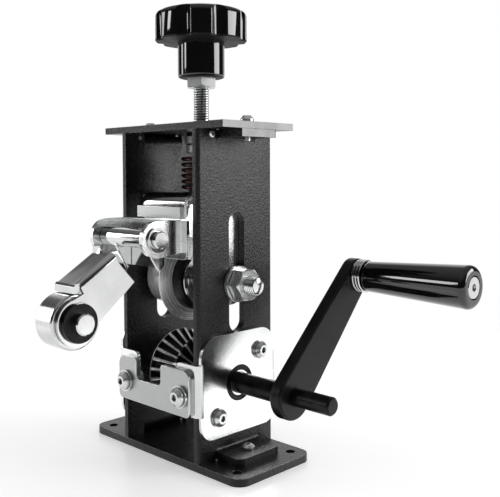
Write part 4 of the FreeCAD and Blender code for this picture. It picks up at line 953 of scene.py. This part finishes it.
class STRIPPER_OT_stage(Operator):
    """Set the floor, the pale surround, the lamps and the camera."""
    bl_idname = "stripper.stage"
    bl_label = "Stage"

    def execute(self, context):
        scene = context.scene
        settings = scene.stripper_stage
        floor_mesh = bpy.data.meshes.new("floor")
        far = FLOOR_HALF
        floor_mesh.from_pydata([(-far, -far, 0), (far, -far, 0), (far, far, 0), (-far, far, 0)],
                               [], [(0, 1, 2, 3)])
        floor = bpy.data.objects.new("floor", floor_mesh)
        scene.collection.objects.link(floor)
        floor_mesh.materials.append(self.floor_finish(settings))
        self.surround(scene, settings)
        for name, size, place in LAMPS:
            lamp = self.lamp(name, getattr(settings, name), size, place)
            lamp.visible_glossy = name != "top"
        self.camera(scene, settings)
        scene.view_settings.view_transform = "Standard"
        return {"FINISHED"}

    def floor_finish(self, settings):
        """Pale floor: near the part it keeps the shadow, farther out it fades into white."""
        shade = Shading("Pale floor")
        if not shade.fresh:
            return shade.material
        drift = shade.spread(shade.noise(3.0, detail=2.0), 0.3, 0.7, 0.0, 0.3)
        paint = shade.blend(drift, settings.floor, tinted(settings.floor, 1.04))
        rough = shade.spread(shade.noise(8.0), 0.3, 0.7, 0.30, 0.36)
        shade.finish(paint, rough)
        x, y, z = shade.parts(shade.place)
        far = shade.spread(shade.distance(x, y), *FLOOR_FADE)
        white = shade.add("ShaderNodeEmission")
        lift = shade.add("ShaderNodeEmission")
        lift.inputs["Strength"].default_value = settings.floor_lift
        near = shade.add("ShaderNodeAddShader")
        shade.links.new(shade.surface.outputs[0], near.inputs[0])
        shade.links.new(lift.outputs[0], near.inputs[1])
        seen = shade.add("ShaderNodeMixShader")
        shade.put(seen.inputs[0], far)
        shade.links.new(near.outputs[0], seen.inputs[1])
        shade.links.new(white.outputs[0], seen.inputs[2])
        pick = shade.add("ShaderNodeMixShader")
        shade.put(pick.inputs[0], self.seen_rays(shade.nodes, shade.links))
        shade.links.new(shade.surface.outputs[0], pick.inputs[1])
        shade.links.new(seen.outputs[0], pick.inputs[2])
        shade.links.new(pick.outputs[0], shade.nodes["Material Output"].inputs["Surface"])
        return shade.material

    def seen_rays(self, nodes, links):
        """1 on rays that look at a surface: straight, mirrored or through glass."""
        path = nodes.new("ShaderNodeLightPath")
        total = path.outputs["Is Camera Ray"]
        for name in ("Is Glossy Ray", "Is Transmission Ray"):
            more = nodes.new("ShaderNodeMath")
            more.operation = "ADD"
            more.use_clamp = True
            links.new(total, more.inputs[0])
            links.new(path.outputs[name], more.inputs[1])
            total = more.outputs[0]
        return total

    def ramp(self, nodes, links, value, low, high, to_low, to_high):
        """Smooth step of a value between two limits."""
        node = nodes.new("ShaderNodeMapRange")
        node.interpolation_type = "SMOOTHSTEP"
        links.new(value, node.inputs["Value"])
        node.inputs["From Min"].default_value = low
        node.inputs["From Max"].default_value = high
        node.inputs["To Min"].default_value = to_low
        node.inputs["To Max"].default_value = to_high
        return node.outputs["Result"]

    def surround(self, scene, settings):
        """White to the eye; in reflections white behind the part and dark on the working side."""
        world = bpy.data.worlds.new("Pale surround")
        scene.world = world
        world.use_nodes = True
        nodes = world.node_tree.nodes
        links = world.node_tree.links
        path = nodes.new("ShaderNodeLightPath")
        heading = nodes.new("ShaderNodeTexCoord").outputs["Generated"]
        behind = nodes.new("ShaderNodeVectorMath")
        behind.operation = "DOT_PRODUCT"
        links.new(heading, behind.inputs[0])
        turn = settings.azimuth
        behind.inputs[1].default_value = (-math.sin(turn), math.cos(turn), 0.0)
        mirrored = self.ramp(nodes, links, behind.outputs["Value"], 0.60, 0.90, settings.dark, 1.0)
        upward = nodes.new("ShaderNodeSeparateXYZ")
        links.new(heading, upward.inputs[0])
        ceiling = self.ramp(nodes, links, upward.outputs["Z"], 0.25, 0.95, 0.0, settings.ceiling)
        both = nodes.new("ShaderNodeMath")
        both.operation = "MAXIMUM"
        links.new(mirrored, both.inputs[0])
        links.new(ceiling, both.inputs[1])
        seen = self.seen_rays(nodes, links)
        level = nodes.new("ShaderNodeMix")
        links.new(path.outputs["Is Glossy Ray"], level.inputs["Factor"])
        level.inputs["A"].default_value = 1.0
        links.new(both.outputs[0], level.inputs["B"])
        light = nodes.new("ShaderNodeMix")
        links.new(seen, light.inputs["Factor"])
        light.inputs["A"].default_value = settings.sky
        links.new(level.outputs["Result"], light.inputs["B"])
        background = nodes["Background"]
        background.inputs["Color"].default_value = (1, 1, 1, 1)
        links.new(light.outputs["Result"], background.inputs["Strength"])

    def lamp(self, name, power, size, place):
        data = bpy.data.lights.new(name, "AREA")
        data.shape = "RECTANGLE"
        data.energy = power
        data.size, data.size_y = size
        lamp = bpy.data.objects.new(name, data)
        lamp.location = place
        toward = Vector(LAMP_TARGET) - Vector(place)
        lamp.rotation_euler = toward.to_track_quat("-Z", "Y").to_euler()
        lamp.visible_camera = False
        bpy.context.scene.collection.objects.link(lamp)
        return lamp

    def camera(self, scene, settings):
        data = bpy.data.cameras.new("camera")
        data.sensor_width = 36.0
        data.lens = settings.lens
        data.shift_x, data.shift_y = settings.shift
        data.clip_start = 0.01
        turn = settings.azimuth
        dip = settings.pitch
        level = math.cos(dip)
        ahead = Vector((-math.sin(turn) * level, math.cos(turn) * level, -math.sin(dip)))
        right = Vector((math.cos(turn), math.sin(turn), 0))
        up = right.cross(ahead)
        tilt = Matrix((right, up, -ahead)).transposed()
        tilt = tilt @ Matrix.Rotation(settings.roll, 3, "Z")
        camera = bpy.data.objects.new("camera", data)
        camera.matrix_world = Matrix.Translation(settings.camera) @ tilt.to_4x4()
        scene.collection.objects.link(camera)
        scene.camera = camera


class STRIPPER_PT_panel(Panel):
    """Sizes, colours and build steps of the wire stripper."""
    bl_idname = "STRIPPER_PT_panel"
    bl_label = "Wire stripper"
    bl_space_type = "VIEW_3D"
    bl_region_type = "UI"
    bl_category = "Wire stripper"

    def draw(self, context):
        for group in SETTINGS:
            box = self.layout.box()
            box.label(text=group)
            settings = getattr(context.scene, group)
            for key in settings.__annotations__:
                box.prop(settings, key)
        for step in STEPS:
            self.layout.operator(step.bl_idname)


SETTINGS = {
    "stripper_coat": CoatSettings,
    "stripper_metal": MetalSettings,
    "stripper_plastic": PlasticSettings,
    "stripper_thread": ThreadSettings,
    "stripper_spring": SpringSettings,
    "stripper_stage": StageSettings,
}
STEPS = (
    STRIPPER_OT_plates, STRIPPER_OT_brackets, STRIPPER_OT_fasteners, STRIPPER_OT_drive,
    STRIPPER_OT_crank, STRIPPER_OT_carrier, STRIPPER_OT_blade, STRIPPER_OT_knob,
    STRIPPER_OT_threads, STRIPPER_OT_spring, STRIPPER_OT_arm, STRIPPER_OT_stage,
)


def register():
    for kind in (*SETTINGS.values(), *STEPS, STRIPPER_PT_panel):
        bpy.utils.register_class(kind)
    for key, kind in SETTINGS.items():
        setattr(bpy.types.Scene, key, PointerProperty(type=kind))


def unregister():
    for key in SETTINGS:
        delattr(bpy.types.Scene, key)
    for kind in reversed((*SETTINGS.values(), *STEPS, STRIPPER_PT_panel)):
        bpy.utils.unregister_class(kind)


def main():
    register()
    for step in STEPS:
        group, call = step.bl_idname.split(".")
        getattr(getattr(bpy.ops, group), call)()


if __name__ == "__main__":
    main()
